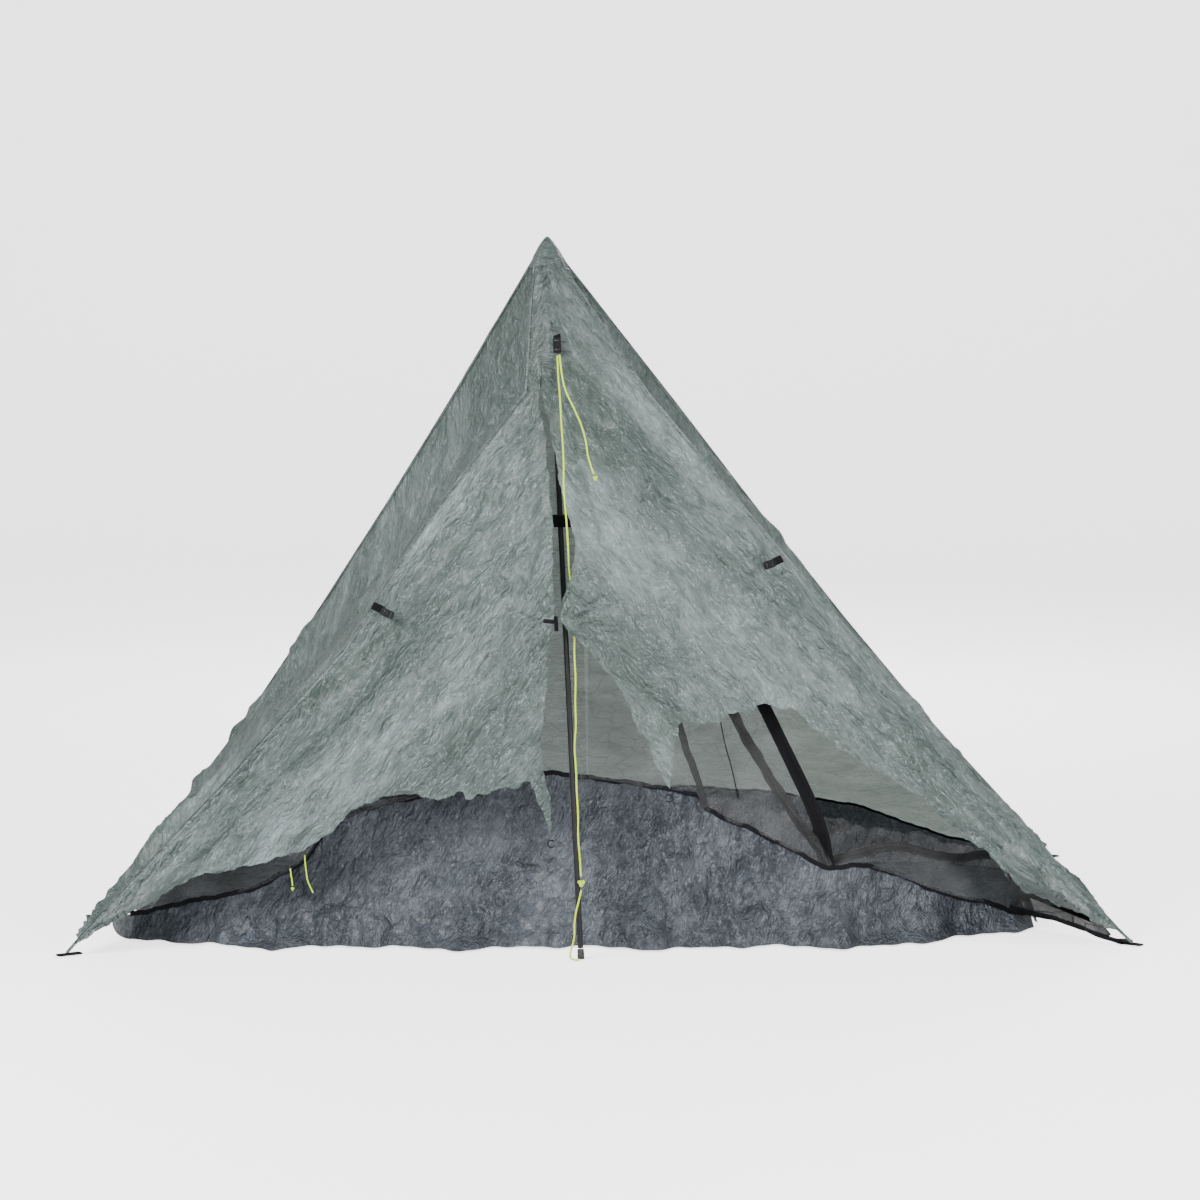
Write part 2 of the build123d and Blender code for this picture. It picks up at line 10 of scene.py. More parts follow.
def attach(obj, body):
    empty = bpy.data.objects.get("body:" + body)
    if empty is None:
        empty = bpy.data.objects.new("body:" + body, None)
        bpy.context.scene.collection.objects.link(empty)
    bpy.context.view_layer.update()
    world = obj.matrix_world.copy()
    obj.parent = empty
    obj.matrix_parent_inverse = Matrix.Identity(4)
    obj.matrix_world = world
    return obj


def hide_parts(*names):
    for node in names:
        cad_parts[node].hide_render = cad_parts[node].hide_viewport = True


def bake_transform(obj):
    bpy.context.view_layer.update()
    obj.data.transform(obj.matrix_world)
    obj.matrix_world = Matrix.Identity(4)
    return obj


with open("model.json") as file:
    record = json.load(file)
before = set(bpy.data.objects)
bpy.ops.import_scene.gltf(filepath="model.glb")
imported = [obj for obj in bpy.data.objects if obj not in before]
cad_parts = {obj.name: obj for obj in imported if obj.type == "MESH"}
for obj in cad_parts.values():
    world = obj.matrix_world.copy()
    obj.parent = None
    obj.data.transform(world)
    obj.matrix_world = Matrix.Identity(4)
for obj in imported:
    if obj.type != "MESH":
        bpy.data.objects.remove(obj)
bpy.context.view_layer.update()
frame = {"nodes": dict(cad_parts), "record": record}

# Camera -----------------------------------------------------------------------------------------

CAMERA_AT = (0.086, -8.9, 1.5)
LENS_MM = 105.8
TILT_DOWN = 4.766  # degrees
TURN_LEFT = 0.601  # degrees

camera_data = bpy.data.cameras.new("camera")
camera_data.lens = LENS_MM
camera_data.sensor_width = 36
camera = bpy.data.objects.new("camera", camera_data)
camera.location = CAMERA_AT
camera.rotation_euler = (math.radians(90 - TILT_DOWN), 0, math.radians(TURN_LEFT))
bpy.context.collection.objects.link(camera)
bpy.context.scene.camera = camera

# Node and material helpers ------------------------------------------------------------------------


class Shader:
    """A node-based material with short calls for the nodes it uses."""

    def __init__(self, name):
        self.material = bpy.data.materials.new(name)
        self.material.use_nodes = True
        self.tree = self.material.node_tree
        self.bsdf = self.tree.nodes["Principled BSDF"]
        self.output = self.tree.nodes["Material Output"]
        self.where = self.tree.nodes.new("ShaderNodeTexCoord").outputs["Object"]

    def feed(self, socket, value):
        """Links a node's output to a socket, or sets the socket's own value."""
        if hasattr(value, "is_output"):
            self.tree.links.new(value, socket)
        elif isinstance(value, tuple) and socket.type == "RGBA":
            socket.default_value = (*value, 1)
        else:
            socket.default_value = value

    def node(self, kind, sockets=(), **settings):
        """A new node, with some of its sockets, by name or number, set or linked."""
        made = self.tree.nodes.new("ShaderNode" + kind)
        for key, value in settings.items():
            setattr(made, key, value)
        for key, value in dict(sockets).items():
            self.feed(made.inputs[key], value)
        return made

    def surface(self, **sockets):
        """Sets or links sockets of the main shader. An underscore stands for a space."""
        for key, value in sockets.items():
            self.feed(self.bsdf.inputs[key.replace("_", " ")], value)

    def stretched(self, scale, turn=(0, 0, 0)):
        """The object's coordinates, scaled and turned."""
        return self.node("Mapping", {"Scale": scale, "Rotation": turn, "Vector": self.where}).outputs[0]

    def noise(self, scale, detail=3, rough=0.55, vector=None):
        sockets = {"Scale": scale, "Detail": detail, "Roughness": rough, "Vector": vector or self.where}
        return self.node("TexNoise", sockets).outputs["Fac"]

    def creases(self, scale, vector):
        """0 along wandering lines, rising to both sides."""
        return self.math("ABSOLUTE", self.math("SUBTRACT", self.noise(scale, 2, 0.5, vector), 0.5))

    def vector_math(self, operation, *values):
        return self.node("VectorMath", dict(enumerate(values)), operation=operation)

    def moved(self, vector, by):
        return self.vector_math("ADD", vector, by).outputs[0]

    def cells(self, scale, vector=None, feature="F1"):
        return self.node("TexVoronoi", {"Scale": scale, "Vector": vector or self.where}, feature=feature)

    def facets(self, cells, vector):
        """Flat facets, each leaning its own way, with a sharp step where two meet, in metres."""
        lean = self.vector_math("SUBTRACT", cells.outputs["Color"], (0.5, 0.5, 0.5)).outputs[0]
        out = self.vector_math("SUBTRACT", vector, cells.outputs["Position"]).outputs[0]
        return self.vector_math("DOT_PRODUCT", lean, out).outputs["Value"]

    def stripes(self, scale, direction="X", vector=None, distortion=0.0):
        sockets = {"Scale": scale, "Distortion": distortion, "Vector": vector or self.where}
        return self.node("TexWave", sockets, bands_direction=direction).outputs["Fac"]

    def math(self, operation, a, b=0.0):
        return self.node("Math", {0: a, 1: b}, operation=operation).outputs[0]

    def total(self, *parts):
        """A sum of values, each times its own share."""
        first, *others = (self.math("MULTIPLY", value, share) for value, share in parts)
        for other in others:
            first = self.math("ADD", first, other)
        return first

    def spread(self, value, low, high, to_low, to_high):
        """Maps a value from one range to another, clamped."""
        return self.node("MapRange", {0: value, 1: low, 2: high, 3: to_low, 4: to_high}).outputs[0]

    def ramp(self, value, stops):
        made = self.node("ValToRGB")
        elements = made.color_ramp.elements
        while len(elements) < len(stops):
            elements.new(0.5)
        for element, (at, colour) in zip(elements, stops):
            element.position = at
            element.color = (*colour, 1)
        self.feed(made.inputs[0], value)
        return made.outputs[0]

    def mix(self, share, a, b):
        """Two colours mixed."""
        made = self.node("Mix", data_type="RGBA")
        for number, value in ((0, share), (6, a), (7, b)):
            self.feed(made.inputs[number], value)
        return made.outputs[2]

    def bump(self, height, strength, distance):
        made = self.node("Bump", {"Strength": strength, "Distance": distance, "Height": height})
        self.surface(Normal=made.outputs[0])
        return made.outputs[0]

    def see_through(self, opaque, glowing=0.0, tint=None, normal=None):
        """Lets light through: a share that glows when lit from behind, and a share that is clear."""
        body = self.bsdf.outputs[0]
        if glowing:
            glow = self.node("BsdfTranslucent", {"Color": tint, "Normal": normal}).outputs[0]
            body = self.node("MixShader", {0: glowing, 1: body, 2: glow}).outputs[0]
        clear = self.node("BsdfTransparent").outputs[0]
        last = self.node("MixShader", {0: opaque, 1: clear, 2: body}).outputs[0]
        self.feed(self.output.inputs["Surface"], last)


def tinted(colour, times, plus=0.0):
    """A colour made paler or darker."""
    return tuple(min(1, c * times + plus) for c in colour)


def film(name, pale, middle, dark, alpha, translucent, turn=(0, 0, 0), stretch=3.4, lines=1.0, gloss=0.5):
    """A crinkled laminate: flat facets drawn out along its folds, fine creases, and light coming through. Its
    colour has painted glints on thin creases, painted shade in wider creases and painted shade towards the
    peak.
    """
    s = Shader(name)
    wobble = s.node("TexNoise", {"Scale": 7, "Detail": 2, "Vector": s.where}).outputs["Color"]
    bent = s.vector_math("MULTIPLY_ADD", wobble, (0.05, 0.05, 0.05), s.where).outputs[0]
    turned = tuple(math.radians(t) for t in turn)
    along = s.node("Mapping", {"Rotation": turned, "Scale": (stretch, 1, 1), "Vector": bent},
                   vector_type="TEXTURE").outputs[0]
    broken = s.spread(s.noise(30), 0.38, 0.52, 0.0, 1.0)
    large, medium, small = (s.creases(scale, vector) for scale, vector in (
        (20, along), (47, s.moved(along, (3.1, 1.7, 0.4))), (120, s.moved(along, (1.3, 4.2, 2.6)))))
    shifted = s.moved(along, (0.6, 2.3, 1.9))
    cells = s.cells(58, shifted)
    # wide: broader crease lines, used below for painted shade in the creases and for a little more opacity.
    wide = s.math("MULTIPLY", s.spread(medium, 0.0, 0.009, 1.0, 0.0), broken)
    # thin: fine crease lines, used below for painted glints.
    thin = s.math("MULTIPLY", s.spread(small, 0.0, 0.02, 1.0, 0.0), broken)
    cloud = s.noise(5.0, 4, 0.6, along)
    patch = s.noise(34, 6, 0.72, s.moved(along, (2.2, 0.9, 1.1)))
    shade = s.total((cloud, 0.6), (patch, 0.35), (cells.outputs["Color"], 0.05))
    colour = s.ramp(shade, ((0.33, dark), (0.5, middle), (0.65, pale)))
    # Painted glints: the thin creases are made paler than the palest tone.
    colour = s.mix(s.math("MULTIPLY", thin, 0.5 * lines), colour, tinted(pale, 1.9, 0.04))
    # Painted shade: the wider creases are made darker.
    colour = s.mix(s.math("MULTIPLY", wide, 0.6 * lines), colour, tinted(dark, 0.6))
    # Painted shade: the film is mixed towards a darker colour above 1.1 m, most at the peak.
    height_for_peak_shade = s.node("SeparateXYZ", {0: s.where}).outputs["Z"]
    colour = s.mix(s.spread(height_for_peak_shade, 1.1, 1.6, 0.0, 0.6), colour, tinted(dark, 0.8))
    relief = s.total((large, 0.04), (medium, 0.03), (small, 0.02), (s.facets(cells, shifted), 0.2))
    s.surface(Base_Color=colour, Roughness=s.spread(patch, 0.3, 0.7, 0.26, 0.44), Specular_IOR_Level=gloss,
              Specular_Tint=(0.88, 0.94, 1.0), Coat_Weight=gloss * 0.4, Coat_Roughness=0.3)
    opaque = s.math("ADD", s.spread(patch, 0.35, 0.65, alpha - 0.03, alpha + 0.03),
                    s.math("MULTIPLY", wide, 0.1))
    s.see_through(opaque, translucent, colour, s.bump(relief, 0.9, 1.0))
    return s.material


def webbing(name, colour, scale=420):
    """Woven tape: two sets of ribs with paler thread tops."""
    s = Shader(name)
    warp = s.stripes(scale, "X", s.stretched((1, 1, 1), (0, 0, 0.6)))
    weft = s.stripes(scale * 0.8, "Z", s.stretched((1, 1, 1), (0, 0.5, 0)))
    weave = s.math("MULTIPLY", warp, weft)
    wear = s.noise(35, 4)
    tone = s.ramp(s.total((weave, 0.6), (wear, 0.4)),
                  ((0.15, tinted(colour, 0.4)), (0.8, tinted(colour, 1.5, 0.002))))
    s.surface(Base_Color=tone, Roughness=s.spread(wear, 0.3, 0.7, 0.62, 0.85), Specular_IOR_Level=0.08)
    s.bump(weave, 0.6, 0.0006)
    return s.material


def plastic(name, colour, rough=0.55):
    """Moulded plastic with a fine grain and scuffed patches."""
    s = Shader(name)
    wear = s.noise(60, 5, 0.6)
    s.surface(Base_Color=s.ramp(wear, ((0.35, colour), (0.75, tinted(colour, 1.7, 0.002)))),
              Roughness=s.spread(wear, 0.3, 0.7, rough - 0.1, rough + 0.15), Specular_IOR_Level=0.1)
    s.bump(s.noise(900, 2), 0.25, 0.0003)
    return s.material


def netting(name, alpha, shade=1.0):
    """Fine black netting: mostly see-through, with a hexagonal thread pattern and soft creases. Its grey is
    partly the thread's own dark colour and partly a painted sheen.
    """
    s = Shader(name)
    threads = s.cells(520, feature="DISTANCE_TO_EDGE")
    folds = s.cells(14, s.stretched((1, 1, 2.2), (0.3, 0.1, 0.5)), "DISTANCE_TO_EDGE")
    hexes = s.spread(threads.outputs["Distance"], 0.0, 0.16, 1.0, 0.0)
    crease = s.spread(folds.outputs["Distance"], 0.0, 0.05, 1.0, 0.0)
    cloud = s.noise(9, 4)
    # The paler end of this grey is a painted sheen on dark thread; the cloud varies it at random.
    dark, pale = tinted((0.04, 0.042, 0.047), shade), tinted((0.12, 0.125, 0.132), shade)
    s.surface(Base_Color=s.ramp(cloud, ((0.3, dark), (0.7, pale))), Roughness=0.72)
    thick = s.total((hexes, 0.16), (crease, 0.16))
    thick = s.math("ADD", thick, s.spread(cloud, 0.35, 0.65, alpha - 0.07, alpha + 0.07))
    s.bump(hexes, 0.3, 0.0004)
    s.see_through(thick)
    return s.material


def carbon(name):
    """A satin black tube with a faint wound pattern."""
    s = Shader(name)
    wind = s.stripes(260, "Z", s.stretched((1, 1, 1), (0.0, 0.5, 0.0)), 1.5)
    s.surface(Base_Color=s.ramp(wind, ((0.2, (0.004, 0.004, 0.005)), (0.9, (0.014, 0.014, 0.016)))),
              Roughness=s.spread(s.noise(40, 4), 0.3, 0.7, 0.3, 0.45), Specular_IOR_Level=0.25,
              Coat_Weight=0.12,
              Coat_Roughness=0.2)
    s.bump(wind, 0.12, 0.0002)
    return s.material


def dark_metal(name, colour):
    """Anodised metal with rubbed, brighter patches."""
    s = Shader(name)
    rub = s.noise(120, 4, 0.6)
    s.surface(Base_Color=s.ramp(rub, ((0.4, colour), (0.8, tinted(colour, 1.8, 0.006)))), Metallic=0.9,
              Roughness=s.spread(rub, 0.3, 0.7, 0.28, 0.48))
    s.bump(rub, 0.1, 0.0002)
    return s.material


def braid(name, colour, dark):
    """Braided cord: diagonal strands with darker gaps."""
    s = Shader(name)
    one = s.stripes(330, "Z", s.stretched((1, 1, 1), (0.7, 0.0, 0.0)))
    two = s.stripes(330, "Z", s.stretched((1, 1, 1), (-0.7, 0.2, 0.0)))
    strands = s.math("MAXIMUM", one, two)
    s.surface(Base_Color=s.ramp(strands, ((0.25, dark), (0.85, colour))), Roughness=0.6)
    s.bump(strands, 0.7, 0.0008)
    return s.material


def rubber(name):
    """Matt rubber with pale dust on it."""
    s = Shader(name)
    dust = s.noise(90, 5, 0.65)
    s.surface(Base_Color=s.ramp(dust, ((0.4, (0.012, 0.012, 0.012)), (0.8, (0.06, 0.058, 0.055)))),
              Roughness=s.spread(dust, 0.3, 0.7, 0.65, 0.9))
    s.bump(dust, 0.3, 0.0006)
    return s.material


CANOPY_COLOURS = ((0.262, 0.32, 0.32), (0.124, 0.163, 0.15), (0.052, 0.075, 0.062))
CANOPY_LEFT = film("canopy_film_left", *CANOPY_COLOURS, 0.93, 0.32, (0, -54, 0))
CANOPY_RIGHT = film("canopy_film_right", *CANOPY_COLOURS, 0.93, 0.32, (0, 50, 0))
CANOPY_SIDE = film("canopy_film_side", *CANOPY_COLOURS, 0.95, 0.36, (0, -62, 90))
INNER = film("canopy_film_rear", (0.25, 0.305, 0.275), (0.19, 0.24, 0.212), (0.13, 0.17, 0.148), 0.96, 0.46,
             (0, 4, 0), 3.4, 0.5, 0.3)
TUB = film("tub_film", (0.108, 0.12, 0.14), (0.046, 0.053, 0.064), (0.016, 0.019, 0.025), 0.96, 0.15,
           (0, -70, 0), 2.2,
           gloss=0.4)
TUB_INSIDE = film("tub_film_inside", (0.21, 0.23, 0.26), (0.095, 0.105, 0.125), (0.036, 0.042, 0.052), 0.96,
                  0.2,
                  (0, -70, 0), 2.2, gloss=0.4)
PATCH = film("patch_film", (0.12, 0.155, 0.15), (0.082, 0.108, 0.1), (0.052, 0.072, 0.064), 0.97, 0.2,
             lines=0.6)
SEAM = film("seam_film", (0.175, 0.215, 0.205), (0.125, 0.16, 0.148), (0.08, 0.105, 0.095), 0.97, 0.15,
            lines=0.4)
NETTING = netting("black_netting", 0.22)
NET_MIDDLE = netting("doubled_netting", 0.26)
NET_DENSE = netting("bunched_netting", 0.88, 0.12)
WEBBING = webbing("black_webbing", (0.0055, 0.0055, 0.0065))
BINDING = webbing("black_binding", (0.01, 0.01, 0.013), 600)
ZIP = webbing("zip_tape_weave", (0.008, 0.008, 0.01), 700)
PLASTIC = plastic("black_plastic", (0.0045, 0.0045, 0.005))
METAL = dark_metal("dark_metal", (0.014, 0.014, 0.016))
CARBON = carbon("carbon_tube")
CORD = braid("cord_braid", (0.66, 0.92, 0.02), (0.3, 0.44, 0.01))
RUBBER = rubber("foot_rubber")



def belongs(piece, body, slot, *replaced):
    """Says which body a piece rides on and the CAD nodes that it stands for. The slot is not used."""
    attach(piece, body)
    if replaced:
        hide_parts(*replaced)
    return piece


# Cords --------------------------------------------------------------------------------------------

CORD_DIAMETER = 0.004
HEM_CORD_DIAMETER = 0.003
# Every route is in millimetres.
GUYLINE = (
    (-97, -784, 1386), (-95, -800, 1338), (-90, -812, 1288), (-88, -824, 1240), (-84, -838, 1190),
    (-81, -848, 1138), (-82, -856, 1088), (-77, -862, 1036), (-73, -862, 984), (-71, -848, 940),
    (-70, -826, 900), (-64, -816, 852), (-60, -817, 800), (-57, -821, 748), (-58, -827, 696),
    (-54, -834, 644), (-56, -841, 592), (-53, -848, 540), (-58, -855, 490), (-53, -861, 440),
    (-52, -867, 388), (-48, -873, 336), (-49, -879, 284), (-44, -885, 236), (-42, -889, 196),
)
GUYLINE_END = (
    (-41, -892, 164), (-46, -896, 142), (-53, -900, 116), (-57, -903, 88), (-56, -906, 60), (-62, -907, 34),
    (-68, -904, 14), (-62, -900, 3), (-46, -898, 2.6),
)
TAIL = (
    (-92, -786, 1388), (-88, -802, 1350), (-80, -812, 1310), (-60, -822, 1270), (-42, -834, 1232),
    (-30, -846, 1192), (-26, -856, 1152), (-12, -864, 1118),
)
HEM_CORD_LONG = (
    (-683, -812, 232), (-682, -818, 214), (-679, -822, 196), (-677, -824, 178), (-671, -826, 162),
    (-663, -827, 146),
)
HEM_CORD_SHORT = ((-717, -812, 200), (-715, -818, 187), (-712, -820, 174), (-711, -821, 161))


def spline_curve(name, points, radius):
    """A curve on one smooth spline through its route's control points, given in millimetres."""
    data = bpy.data.curves.new(name, "CURVE")
    data.dimensions = "3D"
    spline = data.splines.new("NURBS")
    spline.points.add(len(points) - 1)
    for point, at in zip(spline.points, points):
        point.co = (at[0] / 1000, at[1] / 1000, at[2] / 1000, 1)
    spline.order_u = 3
    spline.use_endpoint_u = True
    data.resolution_u = 6
    data.bevel_depth = radius
    data.bevel_resolution = 4
    data.use_fill_caps = radius > 0
    made = bpy.data.objects.new(name, data)
    bpy.context.collection.objects.link(made)
    return made


def cord(name, points, diameter):
    """A round cord that hangs from the canopy."""
    made = spline_curve(name + "_braided", points, diameter / 2)
    made.data.materials.append(CORD)
    return belongs(made, "canopy", "cord_yellow", name)


def knot(name, at, size, body):
    """A pulled-tight knot: cord wound through itself three times. Its place and size are in millimetres."""
    steps = [2 * math.pi * k / 36 for k in range(37)]
    points = [(at[0] + size * 0.3 * (math.sin(t) + 1.6 * math.sin(2 * t)),
               at[1] - size * 0.26 * math.sin(3 * t),
               at[2] + size * 0.3 * (math.cos(t) - 1.6 * math.cos(2 * t))) for t in steps]
    made = spline_curve(name + "_wound", points, size * 0.26 / 1000)
    made.data.materials.append(CORD)
    return belongs(made, body, "cord_yellow", name)


def as_mesh(curve, name):
    """A curve's mesh as a new object, with the curve taken away."""
    bpy.context.view_layer.update()
    data = bpy.data.meshes.new_from_object(curve.evaluated_get(bpy.context.evaluated_depsgraph_get()))
    bpy.data.objects.remove(curve)
    data.name = name
    made = bpy.data.objects.new(name, data)
    bpy.context.collection.objects.link(made)
    return made


guyline = cord("guyline", GUYLINE, CORD_DIAMETER)
guyline_end = cord("guyline_end", GUYLINE_END, CORD_DIAMETER)
hem_cord_long = cord("hem_cord_long", HEM_CORD_LONG, HEM_CORD_DIAMETER)
hem_cord_short = cord("hem_cord_short", HEM_CORD_SHORT, HEM_CORD_DIAMETER)
guyline_knot = knot("guyline_knot", (-41, -890, 180), 9, "canopy")
tail_knot = knot("tail_knot", (-9, -865, 1109), 6, "right_storm_door")
hem_knot = knot("hem_knot", (-711, -821, 154.5), 4.5, "canopy")

# The tail lies on the right storm door as a plain tube; its knot rides with that door.
route = as_mesh(spline_curve("tail_route", TAIL, 0), "tail_route")
bpy.data.objects.remove(route)
guyline_tail = as_mesh(spline_curve("tail_tube", TAIL, CORD_DIAMETER / 2), "guyline_tail_braided")
guyline_tail.data.materials.clear()
guyline_tail.data.materials.append(CORD)
guyline_tail.data.polygons.foreach_set("use_smooth", [True] * len(guyline_tail.data.polygons))
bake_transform(guyline_tail)
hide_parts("guyline_tail")

# Shape of the shelter, in metres ------------------------------------------------------------------
# Heights where the four ridges are given, from the apex down to the ground.

APEX = (-0.122, -0.7, 1.655)
HEIGHTS = (1.655, 1.59, 1.3, 1.0, 0.7, 0.4, 0.04, 0.0)
RIDGES = {
    "front_left": ((-0.122, -0.7), (-0.15, -0.722), (-0.168, -0.754), (-0.4, -0.765), (-0.595, -0.775),
                   (-0.865, -0.8), (-1.205, -0.835), (-1.24, -0.84)),
    "front_right": ((-0.122, -0.7), (-0.086, -0.722), (0.11, -0.752), (0.361, -0.735), (0.616, -0.71),
                    (0.875, -0.69), (1.217, -0.68), (1.26, -0.68)),
    "rear_left": ((-0.122, -0.69), (-0.165, -0.64), (-0.345, -0.395), (-0.54, -0.138), (-0.743, 0.119),
                  (-0.954, 0.377), (-1.233, 0.686), (-1.262, 0.722)),
    "rear_right": ((-0.122, -0.69), (-0.075, -0.645), (0.15, -0.408), (0.38, -0.161), (0.618, 0.085),
                   (0.866, 0.331), (1.188, 0.627), (1.222, 0.656)),
}
# The line down the middle of the front, where the storm doors meet: height and distance forward.
FRONT_MIDDLE = ((1.655, -0.704), (1.59, -0.733), (1.41, -0.758), (1.29, -0.775), (1.0, -0.822), (0.7, -0.842),
                (0.4, -0.856), (0.04, -0.862))
SLIT_X = -0.115  # the slit between the storm doors
SLIT_TOP = ((-0.122, 1.652), (-0.128, 1.5), (-0.136, 1.38))
# The storm doors' loose edges and ragged hems, as (x, height).
LEFT_EDGE = ((-0.142, 1.27), (-0.12, 1.15), (-0.108, 0.95), (-0.104, 0.8), (-0.112, 0.74), (-0.128, 0.58),
             (-0.134, 0.458), (-0.116, 0.38), (-0.11, 0.312))
LEFT_HEM = ((-0.112, 0.278), (-0.123, 0.33), (-0.15, 0.392), (-0.163, 0.412), (-0.192, 0.386),
            (-0.222, 0.398), (-0.257, 0.376), (-0.282, 0.386), (-0.303, 0.364), (-0.321, 0.39),
            (-0.347, 0.364), (-0.413, 0.364), (-0.439, 0.392), (-0.473, 0.388), (-0.515, 0.36),
            (-0.554, 0.35), (-0.587, 0.318), (-0.64, 0.276), (-0.691, 0.244), (-0.76, 0.218), (-0.83, 0.208),
            (-0.888, 0.194), (-0.946, 0.178), (-1.004, 0.146), (-1.062, 0.113), (-1.121, 0.078),
            (-1.18, 0.044))
RIGHT_EDGE = ((-0.13, 1.29), (-0.094, 1.12), (-0.062, 0.97), (-0.06, 0.905), (-0.092, 0.8), (-0.09, 0.77),
              (-0.062, 0.748), (-0.02, 0.708), (0.022, 0.658), (0.048, 0.62), (0.066, 0.585), (0.078, 0.545),
              (0.098, 0.516), (0.118, 0.5), (0.114, 0.474), (0.132, 0.434), (0.151, 0.4))
RIGHT_HEM = ((0.161, 0.388), (0.165, 0.44), (0.172, 0.506), (0.186, 0.536), (0.209, 0.542), (0.232, 0.526),
             (0.25, 0.546), (0.273, 0.532), (0.3, 0.56), (0.328, 0.57), (0.351, 0.552), (0.381, 0.584),
             (0.41, 0.566), (0.45, 0.568), (0.505, 0.52), (0.58, 0.452), (0.64, 0.424), (0.7, 0.392),
             (0.8, 0.31), (0.905, 0.222), (0.98, 0.152), (1.045, 0.11), (1.14, 0.07), (1.2, 0.042))
# Hems at the back and the sides, as (x or y, height), and the tub's two long lines over the ground, as (x, y).
REAR_HEM = ((-1.15, 0.046), (-0.8, 0.1), (-0.4, 0.165), (0.0, 0.195), (0.4, 0.16), (0.8, 0.075), (1.0, 0.036))
SIDE_HEM = ((-0.78, 0.045), (-0.4, 0.095), (0.0, 0.11), (0.4, 0.095), (0.6, 0.055))
TUB_FRONT = ((-1.12, -0.62), (-0.6, -0.7), (0.45, -0.685), (0.78, -0.61), (1.05, -0.4))
TUB_REAR = ((-1.12, 0.38), (-0.95, 0.52), (0.9, 0.5), (1.06, 0.4))
# The tub's rims, as (x, height).
FRONT_RIM = ((-1.12, 0.06), (-0.84, 0.126), (-0.7, 0.2), (-0.64, 0.28), (-0.4, 0.355), (-0.12, 0.4),
             (0.095, 0.374), (0.232, 0.35), (0.252, 0.316), (0.377, 0.262), (0.472, 0.212), (0.543, 0.176),
             (0.595, 0.186), (0.663, 0.172), (0.787, 0.123), (0.864, 0.093), (1.05, 0.034))
REAR_RIM = ((-1.12, 0.07), (-1.0, 0.08), (-0.65, 0.175), (-0.2, 0.215), (0.2, 0.215), (0.65, 0.17),
            (0.95, 0.075), (1.06, 0.065))
TUB_LEAN = 0.055  # how far the front wall leans in over TUB_HEIGHT
TUB_HEIGHT = 0.42
ZIP_ROUTE = ((0.009, 1.37), (0.13, 1.105), (0.252, 0.84), (0.33, 0.672), (0.408, 0.517), (0.455, 0.422),
             (0.494, 0.339), (0.519, 0.27), (0.538, 0.182))
NET_TOP = 1.5
HINGE_X = -0.03  # the mesh door turns about an upright line here
HINGE_Y = -0.66
HINGE_GAP = 0.0015  # from the hinge line to the netting on each side of it
TUB_LEFT_X = -1.118
FRONT_WALL_END_X = 1.048
REAR_WALL_END_X = 1.056


def smooth(keys, values):
    """A function through the given values, with no kinks and no overshoot between them."""
    order = np.argsort(keys)
    k, v = np.array(keys, float)[order], np.array(values, float)[order]
    rise = np.diff(v) / np.diff(k)
    same = rise[1:] * rise[:-1] > 0
    inner = np.where(same, 2 * rise[1:] * rise[:-1] / np.where(same, rise[1:] + rise[:-1], 1), 0)
    slopes = np.concatenate((rise[:1], inner, rise[-1:]))

    def at(x):
        x = np.clip(np.asarray(x, float), k[0], k[-1])
        i = np.clip(np.searchsorted(k, x) - 1, 0, len(k) - 2)
        step = k[i + 1] - k[i]
        t = (x - k[i]) / step
        return ((2 * t**3 - 3 * t**2 + 1) * v[i] + (t**3 - 2 * t**2 + t) * step * slopes[i]
                + (3 * t**2 - 2 * t**3) * v[i + 1] + (t**3 - t**2) * step * slopes[i + 1])

    return at


def straight(keys, values):
    """A function in straight lines between the given values."""
    order = np.argsort(keys)
    k, v = np.array(keys, float)[order], np.array(values, float)[order]
    return lambda x: np.interp(x, k, v)


RIDGE_X = {name: straight(HEIGHTS, [p[0] for p in points]) for name, points in RIDGES.items()}
RIDGE_Y = {name: smooth(HEIGHTS, [p[1] for p in points]) for name, points in RIDGES.items()}
middle_y, front_rim, rear_rim, tub_front_y, tub_rear_y = (
    smooth(*zip(*points)) for points in (FRONT_MIDDLE, FRONT_RIM, REAR_RIM, TUB_FRONT, TUB_REAR))

# Crumpling ----------------------------------------------------------------------------------------


def chance(i, j, seed):
    """The same number from 0 to 1 for the same cell and seed each time."""
    n = (i * 374761393 + j * 668265263 + seed * 1442695041) & 0xFFFFFFFF
    n = ((n ^ (n >> 13)) * 1274126177) & 0xFFFFFFFF
    return ((n ^ (n >> 16)) & 0xFFFF) / 65535


def domes(u, v, seed, tilt=0.8):
    """The lowest of many tilted bowls, one for each cell: smooth inside a cell, creased where two meet."""
    i, j = np.floor(u).astype(np.int64), np.floor(v).astype(np.int64)
    lowest = np.full(u.shape, 1e9)
    for di in (-1, 0, 1):
        for dj in (-1, 0, 1):
            a, b = i + di, j + dj
            du = u - a - chance(a, b, seed)
            dv = v - b - chance(a, b, seed + 1)
            lean_u, lean_v = (2 * tilt * (chance(a, b, seed + s) - 0.5) for s in (2, 3))
            lowest = np.minimum(lowest, lean_u * du + lean_v * dv + 0.9 * (du * du + dv * dv))
    return lowest


def facets(u, v, seed):
    """Flat facets with sharp ridges and valleys between them, about -0.5 to 0.5 high."""
    return domes(u, v, seed) - domes(u, v, seed + 50)


def crumple(u, v, seed, steps):
    """Facets of several sizes added together. Each step is (width, stretch, turn in degrees, height)."""
    height = np.zeros(u.shape)
    for k, (width, stretch, turn, tall) in enumerate(steps):
        c, s = math.cos(math.radians(turn)), math.sin(math.radians(turn))
        along, across = u * c + v * s, v * c - u * s
        height += tall * facets(along / (width * stretch), across / width, seed + 7 * k)
    return height


